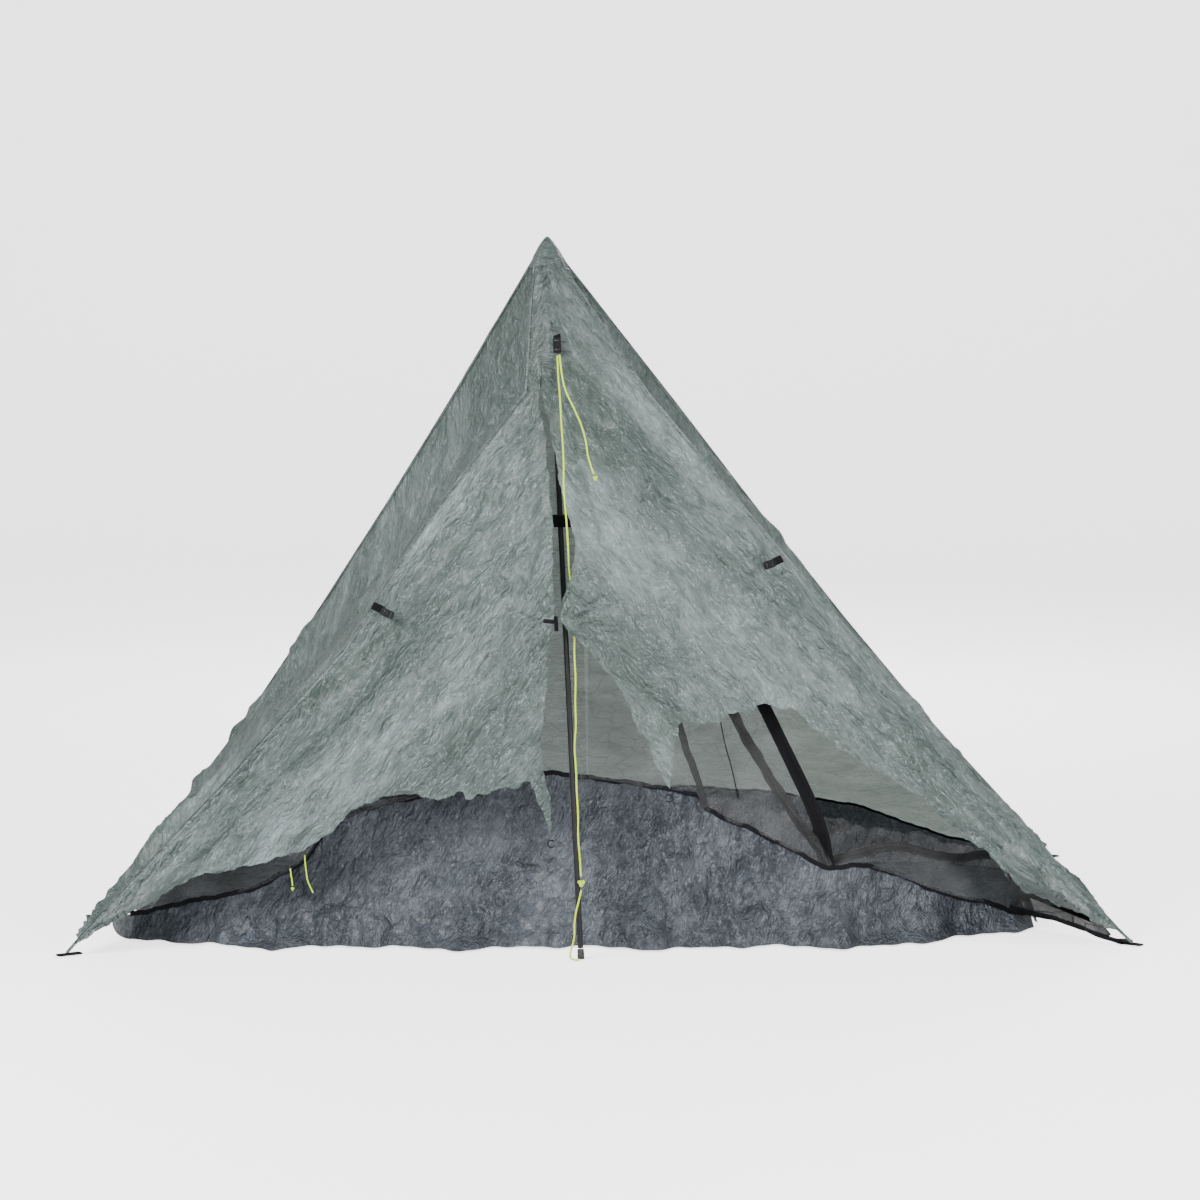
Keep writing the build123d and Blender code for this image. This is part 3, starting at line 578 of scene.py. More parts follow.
def fan(u, v, centre, folds, seed, tall, reach, start=0.03):
    """Folds that spread from a point where the cloth is pulled together."""
    du, dv = u - centre[0], v - centre[1]
    r = np.hypot(du, dv)
    angle = np.arctan2(dv, du)
    shape = facets(angle * folds / math.pi, np.log(r + 0.05) * 1.6, seed)
    fade = np.clip(r / start, 0, 1) * np.exp(-r / reach)
    return tall * shape * fade


def crease_line(u, v, points, tall, width):
    """One long sharp fold along a line of points."""
    best = np.full(u.shape, 1e9)
    for (ax, ay), (bx, by) in zip(points, points[1:]):
        length = (bx - ax) ** 2 + (by - ay) ** 2
        t = np.clip(((u - ax) * (bx - ax) + (v - ay) * (by - ay)) / length, 0, 1)
        best = np.minimum(best, np.hypot(u - ax - t * (bx - ax), v - ay - t * (by - ay)))
    return tall * np.exp(-best / width)


def wander(count, seed, parts):
    """A wavering line for ragged edges: a few sine waves with chosen sizes, added up."""
    rng = np.random.default_rng(seed)
    s = np.arange(count)
    return sum(tall * np.sin(2 * math.pi * s / wave + rng.uniform(0, 6.28)) for wave, tall in parts)


# Sheets -------------------------------------------------------------------------------------------


def resample(points, step):
    """Evenly spaced points along a line of points, ends kept."""
    points = np.array(points, float)
    runs = np.hypot(*np.diff(points, axis=0).T)
    total = np.concatenate(([0], np.cumsum(runs)))
    count = max(2, int(round(total[-1] / step)) + 1)
    at = np.linspace(0, total[-1], count)
    return np.stack([np.interp(at, total, points[:, k]) for k in range(points.shape[1])], axis=1)


def rounded(points, step, rounds=2):
    """A line of points with its corners cut round, then evenly spaced."""
    points = np.array(points, float)
    for _ in range(rounds):
        a, b = points[:-1], points[1:]
        middle = np.stack([a * 0.75 + b * 0.25, a * 0.25 + b * 0.75], axis=1).reshape(-1, points.shape[1])
        points = np.concatenate((points[:1], middle[1:-1], points[-1:]))
    return resample(points, step)


def ragged(line, seed, tall=0.006, step=0.008):
    """A hem's line pushed to and fro across itself, with its ends left in place."""
    count = len(line)
    push = wander(count, seed, ((0.21 / step, tall), (0.093 / step, tall * 0.7), (0.041 / step, tall * 0.5),
                                (0.019 / step, tall * 0.3)))
    fade = np.clip(np.minimum(np.arange(count), count - 1 - np.arange(count)) / 6, 0, 1)
    along = np.gradient(line, axis=0)
    along /= np.hypot(along[:, 0], along[:, 1])[:, None] + 1e-12
    return line + np.stack((-along[:, 1], along[:, 0]), axis=1) * (push * fade)[:, None]


def inside(points, outline):
    """Which points lie inside a closed outline."""
    x, y = points[:, 0][:, None], points[:, 1][:, None]
    ax, ay = outline[:, 0][None], outline[:, 1][None]
    bx, by = np.roll(outline[:, 0], -1)[None], np.roll(outline[:, 1], -1)[None]
    crossing = (ay > y) != (by > y)
    at = ax + (y - ay) * (bx - ax) / np.where(by == ay, 1e-12, by - ay)
    return (crossing & (x < at)).sum(1) % 2 == 1


def near(points, line):
    """Each point's distance from the nearest point of a line."""
    best = np.full(len(points), 1e9)
    for block in np.array_split(line, max(1, len(line) // 64)):
        best = np.minimum(best, np.hypot(points[:, :1] - block[:, 0], points[:, 1:] - block[:, 1]).min(1))
    return best


def fill(outline, step, seed, lines=()):
    """Triangles inside an outline, with evenly scattered points and, as edges, any inner lines."""
    rng = np.random.default_rng(seed)
    low, high = outline.min(0), outline.max(0)
    rise = step * 0.866
    rows = np.arange(low[1], high[1], rise)
    grid = np.concatenate([
        np.stack((np.arange(low[0] + step / 2 * (k % 2), high[0], step), np.full_like(
            np.arange(low[0] + step / 2 * (k % 2), high[0], step), y)), axis=1) for k, y in enumerate(rows)])
    grid = grid + rng.uniform(-0.22, 0.22, grid.shape) * step
    grid = grid[inside(grid, outline)]
    fixed = np.concatenate([outline, *lines])
    grid = grid[near(grid, fixed) > step * 0.5]
    count = len(outline)
    edges = [(k, (k + 1) % count) for k in range(count)]
    first = count
    for line in lines:
        edges += [(first + k, first + k + 1) for k in range(len(line) - 1)]
        first += len(line)
    points = [Vector(p) for p in np.concatenate((fixed, grid))]
    made = delaunay_2d_cdt(points, edges, [list(range(count))], 1, 1e-6)
    return np.array([tuple(p) for p in made[0]]), [tuple(f) for f in made[2]]


def place(base, height, uv):
    """Points of a sheet: its base surface, pushed along the surface's normal by the crumple height."""
    u, v = uv[:, 0], uv[:, 1]
    tiny = 0.002
    p = base(u, v)
    du, dv = base(u + tiny, v) - base(u - tiny, v), base(u, v + tiny) - base(u, v - tiny)
    normal = np.cross(du, dv)
    normal /= np.linalg.norm(normal, axis=1)[:, None] + 1e-12
    return p + normal * height(u, v)[:, None], normal


def mesh_piece(name, vertices, faces, material, smooth_faces=True):
    """A mesh object from points and faces."""
    data = bpy.data.meshes.new(name)
    data.from_pydata([tuple(p) for p in vertices], [], faces)
    data.materials.append(material)
    data.polygons.foreach_set("use_smooth", [smooth_faces] * len(data.polygons))
    data.update()
    made = bpy.data.objects.new(name, data)
    bpy.context.collection.objects.link(made)
    return made


def sheet_piece(name, base, height, outline, step, seed, material):
    """A crumpled sheet over a base surface."""
    uv, faces = fill(outline, step, seed)
    vertices, _ = place(base, height, uv)
    return mesh_piece(name, vertices, faces, material, smooth_faces=False)


def ribbon(name, base, height, line, width, material, lift):
    """A narrow tape that lies on a sheet and follows its crumples. Lift is to the outside."""
    line = np.array(line, float)
    along = np.gradient(line, axis=0)
    along /= np.hypot(along[:, 0], along[:, 1])[:, None] + 1e-12
    across = np.stack((-along[:, 1], along[:, 0]), axis=1)
    rows = []
    for share in (-0.5, -0.17, 0.17, 0.5):
        p, normal = place(base, height, line + across * (share * width))
        rows.append(p + normal * (lift - abs(share) * abs(lift) * 0.6))
    count = len(line)
    vertices = np.concatenate(rows)
    faces = [(r * count + k, r * count + k + 1, (r + 1) * count + k + 1, (r + 1) * count + k)
             for r in range(3) for k in range(count - 1)]
    return mesh_piece(name, vertices, faces, material)


# Base surfaces ------------------------------------------------------------------------------------


def front_base(u, v):
    """The front at (x, z): straight from each front ridge to the middle line."""
    left_x, right_x = RIDGE_X["front_left"](v), RIDGE_X["front_right"](v)
    left_y, right_y = RIDGE_Y["front_left"](v), RIDGE_Y["front_right"](v)
    mid = middle_y(v)
    on_left = left_y + (mid - left_y) * (u - left_x) / np.maximum(SLIT_X - left_x, 0.004)
    on_right = mid + (right_y - mid) * (u - SLIT_X) / np.maximum(right_x - SLIT_X, 0.004)
    y = np.where(u < SLIT_X, on_left, on_right)
    return np.stack((u, np.clip(y, -0.875, -0.675), v), axis=1)


def side_base(front, rear, bow):
    """A side at (y, z): from its front ridge to its rear ridge, bowed in a little."""

    def base(u, v):
        near_y, far_y = RIDGE_Y[front](v), RIDGE_Y[rear](v)
        t = (u - near_y) / np.maximum(far_y - near_y, 0.01)
        x = RIDGE_X[front](v) + (RIDGE_X[rear](v) - RIDGE_X[front](v)) * t
        slack = bow * np.clip((1.62 - v) / 0.8, 0, 1)
        return np.stack((x + slack * np.sin(math.pi * np.clip(t, 0, 1)), u, v), axis=1)

    return base


def rear_base(u, v):
    """The rear at (x, z): from one rear ridge to the other, bowed in a little."""
    left_x, right_x = RIDGE_X["rear_left"](v), RIDGE_X["rear_right"](v)
    t = (u - left_x) / np.maximum(right_x - left_x, 0.01)
    y = RIDGE_Y["rear_left"](v) + (RIDGE_Y["rear_right"](v) - RIDGE_Y["rear_left"](v)) * t
    return np.stack((u, y - 0.03 * np.sin(math.pi * np.clip(t, 0, 1)) * (1 - v / 1.8), v), axis=1)


def seam_fade(distance, width=0.045):
    """0 on a seam, so that two panels meet there, and 1 away from it."""
    t = np.clip(distance / width, 0, 1)
    return t * (2 - t)


def ridge_distance(u, v, names, axis):
    """How far a point is from the nearest of some ridges, across the panel. Axis 0 is x, 1 is y."""
    table = RIDGE_X if axis == 0 else RIDGE_Y
    return np.minimum(*(np.abs(u - table[n](v)) for n in names)) * 0.8

# Canopy panels ------------------------------------------------------------------------------------

# Each step of crumpling is (width, stretch, turn in degrees, height).
LEFT_STEPS = ((0.36, 2.0, 58, 0.03), (0.17, 2.9, 50, 0.02), (0.085, 3.0, 60, 0.012), (0.044, 2.7, 44, 0.0068),
              (0.023, 2.2, 64, 0.0034))
RIGHT_STEPS = tuple((width, stretch, -turn + 4, tall) for width, stretch, turn, tall in LEFT_STEPS)
SIDE_STEPS = ((0.34, 1.8, 66, 0.03), (0.16, 2.4, 74, 0.02), (0.085, 2.4, 58, 0.013), (0.045, 2.0, 80, 0.0075),
              (0.024, 1.8, 50, 0.0036))
REAR_STEPS = ((0.42, 2.0, 78, 0.022), (0.19, 2.6, 12, 0.012), (0.09, 2.8, -8, 0.007), (0.044, 2.4, 8, 0.0036))
TUB_STEPS = ((0.26, 2.0, 78, 0.03), (0.13, 2.2, 66, 0.017), (0.068, 2.0, 20, 0.01), (0.036, 1.8, -25, 0.0058),
             (0.02, 1.5, 50, 0.003))
# Each fan is (centre, folds, seed, height, reach).
FRONT_FANS = (((-0.125, 1.64), 26, 301, 0.018, 0.55), ((-0.104, 0.771), 18, 302, 0.012, 0.16),
              ((-1.24, 0.0), 44, 303, 0.036, 0.8), ((1.26, 0.0), 48, 304, 0.036, 0.85),
              ((-0.512, 0.806), 16, 305, 0.01, 0.12), ((0.412, 0.912), 16, 306, 0.01, 0.12))
LEFT_FANS = (((-0.84, 0.0), 36, 311, 0.03, 0.6), ((0.722, 0.0), 36, 312, 0.03, 0.6),
             ((-0.7, 1.655), 26, 313, 0.018, 0.5))
RIGHT_FANS = (((-0.68, 0.0), 36, 314, 0.03, 0.6), ((0.656, 0.0), 36, 315, 0.03, 0.6),
              ((-0.7, 1.655), 26, 316, 0.018, 0.5))
REAR_FANS = (((-1.262, 0.0), 40, 317, 0.024, 0.7), ((1.222, 0.0), 40, 318, 0.024, 0.7),
             ((-0.12, 1.655), 26, 319, 0.016, 0.5))
# Each long crease is (points, height, width).
FRONT_CREASES = ((((-0.165, 1.3), (-0.32, 1.17), (-0.45, 0.99)), 0.022, 0.014),
                 (((-0.12, 1.36), (-0.06, 1.18), (-0.01, 0.98)), 0.016, 0.012),
                 (((0.05, 1.22), (0.3, 0.98), (0.62, 0.64), (0.95, 0.3)), 0.026, 0.02),
                 (((-0.12, 0.98), (-0.2, 0.7), (-0.24, 0.44)), 0.02, 0.02),
                 (((-0.28, 0.98), (-0.58, 0.56), (-1.05, 0.14)), 0.026, 0.02),
                 (((-0.22, 0.86), (-0.5, 0.46), (-0.7, 0.28)), 0.02, 0.016))
# Where fittings lie on the front: x, z and how far the calm reaches.
CALM_POINTS = ((-0.1, 1.44, 0.05), (-0.098, 1.39, 0.05), (-0.104, 0.771, 0.04), (-0.53, 0.812, 0.04),
               (-0.5, 0.8, 0.04), (0.425, 0.916, 0.04), (0.395, 0.908, 0.04))


def calm(u, v):
    """0 where a fitting lies on the cloth, so that no crumple hides it, and 1 elsewhere."""
    share = np.ones(u.shape)
    for x, z, reach in CALM_POINTS:
        share *= 1 - np.exp(-((np.hypot(u - x, v - z) / reach) ** 4))
    return share


def front_height(u, v):
    """Crumples of the whole front: creases along the pull of each door, and folds from the points that pull."""
    side = np.clip((u - SLIT_X) / 0.1 + 0.5, 0, 1)
    height = crumple(u, v, 11, LEFT_STEPS) * (1 - side) + crumple(u, v, 91, RIGHT_STEPS) * side
    for settings in FRONT_FANS:
        height += fan(u, v, *settings)
    for points, tall, width in FRONT_CREASES:
        height += crease_line(u, v, points, tall, width)
    return height * calm(u, v) * seam_fade(ridge_distance(u, v, ("front_left", "front_right"), 0))


def door_base(forward):
    """The front surface with a storm door standing a little forward of it below the slit's top."""

    def base(u, v):
        p = front_base(u, v)
        middle = np.exp(-(((u - SLIT_X) / 0.22) ** 2))
        p[:, 1] -= forward * np.clip((1.36 - v) / 0.12, 0, 1) * middle
        return p

    return base


left_base, right_base = door_base(-0.002), door_base(0.009)
CORNER_Z = 0.028  # the panels end here, a little above the ground, and a strip runs on from each corner


def corner_at(name, axis):
    """Where a ridge ends at its corner, in a panel's own two directions."""
    return float((RIDGE_X if axis == 0 else RIDGE_Y)[name](CORNER_Z)), CORNER_Z


def ridge_line(name, axis, low=CORNER_Z, high=1.65, count=150):
    """Points down a ridge, from the apex, in a panel's own two directions."""
    z = np.linspace(high, low, count)
    return np.stack(((RIDGE_X if axis == 0 else RIDGE_Y)[name](z), z), axis=1)


SHEET_STEP = 0.0068
HEM_STEP = 0.0065
BACK_HEM_STEP = 0.01
LAP = 0.009  # how far the left half runs on behind the right one above the slit

left_outline = np.concatenate((
    ridge_line("front_left", 0),
    ragged(rounded((corner_at("front_left", 0), *LEFT_HEM[::-1]), HEM_STEP), 21, 0.003, HEM_STEP)[1:],
    ragged(rounded(LEFT_EDGE[::-1], HEM_STEP), 22, 0.002, HEM_STEP),
    rounded([(x + LAP, z) for x, z in SLIT_TOP[::-1]], BACK_HEM_STEP),
))
right_outline = np.concatenate((
    rounded(SLIT_TOP, BACK_HEM_STEP),
    ragged(rounded(RIGHT_EDGE, HEM_STEP), 23, 0.002, HEM_STEP),
    ragged(rounded((*RIGHT_HEM, corner_at("front_right", 0)), HEM_STEP), 24, 0.0035, HEM_STEP)[:-1],
    ridge_line("front_right", 0)[::-1],
))


def panel_outline(first, last, axis, hem, seed):
    """A panel's outline: down one ridge, along its ragged hem and up the other ridge."""
    low_edge = rounded((corner_at(first, axis), *hem, corner_at(last, axis)), BACK_HEM_STEP)
    return np.concatenate((ridge_line(first, axis), ragged(low_edge, seed, 0.005)[1:-1],
                           ridge_line(last, axis)[::-1]))


RIGHT_SIDE_HEM = ((-0.6, 0.05), *SIDE_HEM[1:-1], (0.56, 0.05))
rear_outline = panel_outline("rear_left", "rear_right", 0, REAR_HEM, 25)
left_side_outline = panel_outline("front_left", "rear_left", 1, SIDE_HEM, 26)
right_side_outline = panel_outline("front_right", "rear_right", 1, RIGHT_SIDE_HEM, 27)


def panel_height(seed, steps, fans, ridges, axis, sign=1):
    """Crumples of a panel between two ridges, with folds from its corners and from the peak."""

    def height(u, v):
        tall = crumple(u, v, seed, steps)
        for settings in fans:
            tall = tall + fan(u, v, *settings)
        return sign * tall * seam_fade(ridge_distance(u, v, ridges, axis), 0.06)

    return height


left_side_height = panel_height(12, SIDE_STEPS, LEFT_FANS, ("front_left", "rear_left"), 1)
right_side_height = panel_height(13, SIDE_STEPS, RIGHT_FANS, ("front_right", "rear_right"), 1, -1)
rear_height = panel_height(14, REAR_STEPS, REAR_FANS, ("rear_left", "rear_right"), 0)
left_side_surface = side_base("front_left", "rear_left", 0.045)
right_side_surface = side_base("front_right", "rear_right", -0.045)


def blend_door(piece):
    """Bakes the place of a piece on a storm door into its mesh."""
    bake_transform(piece)


for side, base, outline, seed, material, replaced, flat, area in (
        ("left", left_base, left_outline, 31, CANOPY_LEFT, ("left_door_panel", "front_peak_panel"),
         (1.15, 1.68), 0.62),
        ("right", right_base, right_outline, 32, CANOPY_RIGHT, ("right_door_panel",), (1.42, 1.66), 0.72)):
    door = sheet_piece(f"{side}_storm_door_film", base, front_height, outline, SHEET_STEP, seed, material)
    blend_door(door)
    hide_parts(*replaced)
for name, base, height, outline, step, seed, material, replaced, flat, area in (
        ("left_side_film", left_side_surface, left_side_height, left_side_outline, 0.009, 33, CANOPY_SIDE,
         "left_side_panel", (1.56, 2.1), 1.35),
        ("right_side_film", right_side_surface, right_side_height, right_side_outline, 0.009, 34, CANOPY_SIDE,
         "right_side_panel", (1.34, 2.1), 1.25),
        ("rear_film", rear_base, rear_height, rear_outline, 0.0125, 35, INNER, "rear_panel", (2.5, 2.2),
         2.05)):
    panel = belongs(sheet_piece(name, base, height, outline, step, seed, material), "canopy", "canopy_film",
                    replaced)

# Seams --------------------------------------------------------------------------------------------

SEAM_WIDTH = 0.016


left_side_of = ("side", left_side_surface, left_side_height, 1, -1)
right_side_of = ("side", right_side_surface, right_side_height, 1, 1)
rear_of = ("rear", rear_base, rear_height, 0, -1)
# The bonded tape over each ridge seam is two halves that meet on the ridge, one on each panel.
for ridge, halves in (
        ("front_left", (("front", left_base, front_height, 0, 1), left_side_of)),
        ("front_right", (("front", right_base, front_height, 0, 1), right_side_of)),
        ("rear_left", (rear_of, left_side_of)), ("rear_right", (rear_of, right_side_of))):
    for tag, base, height, axis, side in halves:
        line = ridge_line(ridge, axis, CORNER_Z, 1.625, 260)
        half = ribbon(f"seam_{ridge}_{tag}", base, height, line, SEAM_WIDTH / 2, SEAM, side * 0.0016)
        belongs(half, "canopy", "canopy_film", ridge.split("_")[0] + "_ridge_tapes")


def patch_sheet(name, base, height, outline, step, seed, replaced, lift):
    """A second layer of film bonded on a panel."""
    made = sheet_piece(name, base, lambda u, v: height(u, v) + lift, outline, step, seed, PATCH)
    belongs(made, "canopy", "canopy_film", replaced)


def corner_outline(ridge, inward):
    """A corner patch in a side panel's (y, z): up the ridge, and back down to the hem."""
    z = np.linspace(0.2, 0.05, 18)
    edge = np.stack((RIDGE_Y[ridge](z) + 0.004 * inward, z), axis=1)
    far = (edge[-1][0] + 0.13 * inward, 0.075)
    return np.concatenate((edge, resample([edge[-1], far], 0.01)[1:], resample([far, edge[0]], 0.01)[1:-1]))


for side, surface, height, lift in (("left", left_side_surface, left_side_height, -0.0016),
                                    ("right", right_side_surface, right_side_height, 0.0016)):
    for end, inward in (("front", 1), ("rear", -1)):
        patch_sheet(f"corner_patch_{end}_{side}", surface, height, corner_outline(f"{end}_{side}", inward),
                    0.009,
                    70 + inward, "corner_patches", lift)
PEAK_PATCH = ((-0.1, 1.475), (-0.118, 1.44), (-0.134, 1.4), (-0.132, 1.362), (-0.112, 1.344), (-0.086, 1.346),
              (-0.066, 1.364), (-0.066, 1.402), (-0.084, 1.442))
patch_sheet("peak_patch_film", right_base, front_height, rounded((*PEAK_PATCH, PEAK_PATCH[0]), 0.006)[:-1],
            0.006, 73,
            "peak_patch", 0.0018)

# Peak ---------------------------------------------------------------------------------------------

CAP_FOOT_Z = 1.588
CAP_TOP_Z = 1.66
CAP_RINGS = 14
CAP_SIDES = 40
cap_corners = [(float(RIDGE_X[n](CAP_FOOT_Z)), float(RIDGE_Y[n](CAP_FOOT_Z)))
               for n in ("front_left", "front_right", "rear_right", "rear_left")]


def cap_foot(angle, centre):
    """How far the foot of the peak cap is from its middle, in one direction."""
    direction = Vector((math.cos(angle), math.sin(angle)))
    best = 0.0
    for (ax, ay), (bx, by) in zip(cap_corners, cap_corners[1:] + cap_corners[:1]):
        edge, to_a = Vector((bx - ax, by - ay)), Vector((ax, ay)) - centre
        cross = direction.x * edge.y - direction.y * edge.x
        if abs(cross) > 1e-9:
            reach = (to_a.x * edge.y - to_a.y * edge.x) / cross
            along = (to_a.x * direction.y - to_a.y * direction.x) / cross
            if reach > 0 and -0.001 <= along <= 1.001:
                best = reach
    return best


def make_peak_cap():
    """The reinforced tip: it follows the four ridges and closes in a small rounded point."""
    rng = np.random.default_rng(61)
    vertices, faces = [], []
    foot_middle = Vector((sum(c[0] for c in cap_corners) / 4, sum(c[1] for c in cap_corners) / 4))
    for ring in range(CAP_RINGS):
        up = ring / (CAP_RINGS - 1)
        z = CAP_FOOT_Z + (CAP_TOP_Z - CAP_FOOT_Z) * up
        size = (1 - up ** 1.15) ** 0.8
        middle = foot_middle.lerp(Vector(APEX[:2]), up ** 0.7)
        for side in range(CAP_SIDES):
            angle = 2 * math.pi * side / CAP_SIDES
            reach = cap_foot(angle, foot_middle) * size + 0.0025 + rng.uniform(-0.0007, 0.0007)
            vertices.append((middle.x + reach * math.cos(angle), middle.y + reach * math.sin(angle), z))
    for ring in range(CAP_RINGS - 1):
        for side in range(CAP_SIDES):
            a, b = ring * CAP_SIDES + side, ring * CAP_SIDES + (side + 1) % CAP_SIDES
            faces.append((a, b, b + CAP_SIDES, a + CAP_SIDES))
    faces.append(tuple((CAP_RINGS - 1) * CAP_SIDES + side for side in range(CAP_SIDES)))
    belongs(mesh_piece("peak_cap_film", vertices, faces, PATCH), "canopy", "canopy_film", "peak_cap")


make_peak_cap()

# Tub ----------------------------------------------------------------------------------------------


def foot_wave(s, seed):
    """How far the foot of a tub wall wanders out over the ground, 0 to 1."""
    rng = np.random.default_rng(seed)
    waves = ((0.47, 0.3), (0.22, 0.26), (0.11, 0.14), (0.061, 0.08))
    return 0.5 + sum(tall * np.sin(2 * math.pi * s / long + rng.uniform(0, 6.28)) for long,
                     tall in waves) * 0.7


def tub_front_base(u, v):
    y = tub_front_y(u) + TUB_LEAN * v / TUB_HEIGHT + 1.3 * np.clip(-1.12 - u, 0, 1)
    return np.stack((u, y - 0.1 * foot_wave(u, 41) * np.clip(1 - v / 0.16, 0, 1) ** 2, v), axis=1)


def tub_rear_base(u, v):
    return np.stack((u, tub_rear_y(u) - TUB_LEAN * v / TUB_HEIGHT, v), axis=1)


def tub_left_base(u, v):
    return np.stack((-1.112 + 0.2 * v - 0.02 * foot_wave(u, 42) * np.clip(1 - v / 0.06, 0, 1), u, v), axis=1)


def tub_right_base(u, v):
    return np.stack((1.052 - 0.25 * v + 0.02 * foot_wave(u, 43) * np.clip(1 - v / 0.06, 0, 1), u, v), axis=1)


def floor_base(u, v):
    return np.stack((u, v, np.full(u.shape, 0.004)), axis=1)


def tub_height(seed, side, low=0.0, strength=1.0):
    """Crumples of a tub wall, which end at the floor."""

    def height(u, v):
        tall = crumple(u, v, seed, TUB_STEPS) * strength
        return side * tall * np.clip((v - low) / 0.035, 0, 1)

    return height


def floor_height(u, v):
    return 0.004 + 0.35 * np.abs(crumple(u, v, 44, TUB_STEPS))


def rim_line(rim, right, step, seed, tall):
    """A wall's rim, from the tub's left end to its right one, a little ragged."""
    x = np.linspace(TUB_LEFT_X, right, int((right - TUB_LEFT_X) / step + 1e-6))
    return ragged(np.stack((x, rim(x)), axis=1), seed, tall, step)


def wall_outline(rim, low=0.003):
    """A wall's outline: its rim, and its foot straight below."""
    left, right = (rim[0][0], low), (rim[-1][0], low)
    return np.concatenate((rim, resample([rim[-1], right], 0.01)[1:], resample([right, left], 0.009)[1:],
                           resample([left, rim[0]], 0.01)[1:-1]))


def tub_front_height(u, v):
    """Crumples, and upright folds in the middle of the right half, where the wall hangs from the rim."""
    hung = np.exp(-(((u - 0.27) / 0.2) ** 2)) * np.clip(v / 0.08, 0, 1)
    folds = 0.008 * np.sin(2 * math.pi * (u + 0.1 * v) / 0.056 + 2.2 * np.sin(9 * u))
    return tub_height(15, -1)(u, v) - folds * hung


tub_rear_height = tub_height(16, 1, 0.0, 0.6)
tub_left_height, tub_right_height = tub_height(17, 1, 0.0, 0.4), tub_height(18, 1, 0.0, 0.4)
front_rim_points = rim_line(front_rim, FRONT_WALL_END_X, 0.008, 45, 0.0018)
rear_rim_points = rim_line(rear_rim, REAR_WALL_END_X, 0.01, 46, 0.0015)
left_rim_points = resample([(-0.615, 0.075), (-0.2, 0.062), (0.376, 0.07)], 0.01)
right_rim_points = resample([(-0.398, 0.068), (0.0, 0.06), (0.398, 0.065)], 0.01)
floor_front_x = np.linspace(TUB_LEFT_X, FRONT_WALL_END_X, 60)
floor_rear_x = np.linspace(REAR_WALL_END_X, TUB_LEFT_X, 60)
floor_outline = np.concatenate((
    resample(np.stack((floor_front_x, tub_front_y(floor_front_x) + 0.002), axis=1), 0.015),
    resample(np.stack((floor_rear_x, tub_rear_y(floor_rear_x) - 0.002), axis=1), 0.015),
))
# The front wall's left end bulges out past the rim.
LEFT_BULGE = ((-1.118, 0.06), (-1.14, 0.054), (-1.158, 0.038), (-1.162, 0.022), (-1.148, 0.006),
              (-1.118, 0.003))
tub_front_outline = np.concatenate((wall_outline(front_rim_points)[:-5],
                                    rounded(LEFT_BULGE[::-1], 0.008)[:-1]))
for name, base, height, outline, step, seed, material, replaced, flat, area, held in (
        ("tub_front_film", tub_front_base, tub_front_height, tub_front_outline, 0.0066, 51, TUB,
         "tub_front_wall",
         (2.25, 0.42), 0.58, "hung"),
        ("tub_rear_film", tub_rear_base, tub_rear_height, wall_outline(rear_rim_points), 0.011, 52,
         TUB_INSIDE,
         "tub_rear_wall", (2.2, 0.23), 0.36, "hung"),
        ("tub_left_film", tub_left_base, tub_left_height, wall_outline(left_rim_points), 0.011, 53,
         TUB_INSIDE,
         "tub_left_wall", (1.0, 0.08), 0.066, "hung"),
        ("tub_right_film", tub_right_base, tub_right_height, wall_outline(right_rim_points), 0.011, 54,
         TUB_INSIDE,
         "tub_right_wall", (0.8, 0.075), 0.052, "hung"),
        ("tub_floor_film", floor_base, floor_height, floor_outline, 0.016, 55, TUB_INSIDE, "tub_floor",
         (2.2, 1.24), 2.52, "laid")):
    made = sheet_piece(name, base, height, outline, step, seed, material)
    belongs(made, "canopy", "tub_film", replaced)

BINDING_WIDTH = 0.011
for tag, base, height, line in (("front", tub_front_base, tub_front_height, front_rim_points),
                                ("rear", tub_rear_base, tub_rear_height, rear_rim_points),
                                ("left", tub_left_base, tub_left_height, left_rim_points),
                                ("right", tub_right_base, tub_right_height, right_rim_points)):
    for face, lift in (("out", 0.0022), ("in", -0.0022)):
        width = BINDING_WIDTH if tag == "front" else BINDING_WIDTH / 2
        made = ribbon(f"rim_binding_{tag}_{face}", base, height, line, width, BINDING, lift)
        belongs(made, "canopy", "black_binding", "tub_rim_binding")

# Corners ------------------------------------------------------------------------------------------

STRAP_WIDTH = 0.013
STRAP_THICK = 0.0016
STRIP_HEIGHTS = (0.007, 0.016, 0.028, 0.034)  # where the strip from a panel's corner to its loop is laid down
OUTWARD = {"front_left": (-1, -0.75), "front_right": (1, -0.7), "rear_left": (-1, 0.9),
           "rear_right": (1, 0.7)}


def strap(name, points, across, width, material):
    """A flat strap through a few points, of even thickness."""
    across = Vector(across).normalized() * width / 2
    vertices, faces = [], []
    for k, point in enumerate(points):
        run = Vector(points[min(k + 1, len(points) - 1)]) - Vector(points[max(k - 1, 0)])
        out = run.cross(across).normalized() * STRAP_THICK / 2
        vertices += [Vector(point) + a * across + b * out for a, b in ((-1, -1), (1, -1), (1, 1), (-1, 1))]
        if k:
            faces += [(4 * k - 4 + a, 4 * k - 4 + (a + 1) % 4, 4 * k + (a + 1) % 4,
                       4 * k + a) for a in range(4)]
    last = 4 * (len(points) - 1)
    faces += [(3, 2, 1, 0), (last, last + 1, last + 2, last + 3)]
    return mesh_piece(name, vertices, faces, material, smooth_faces=False)


for ridge, direction in OUTWARD.items():
    across = (-direction[1], direction[0], 0)
    points = [Vector((float(RIDGE_X[ridge](z)), float(RIDGE_Y[ridge](z)), z)) for z in STRIP_HEIGHTS]
    made = strap(f"corner_end_{ridge}", points, across, STRAP_WIDTH, SEAM)
    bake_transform(made)

# Netting ------------------------------------------------------------------------------------------


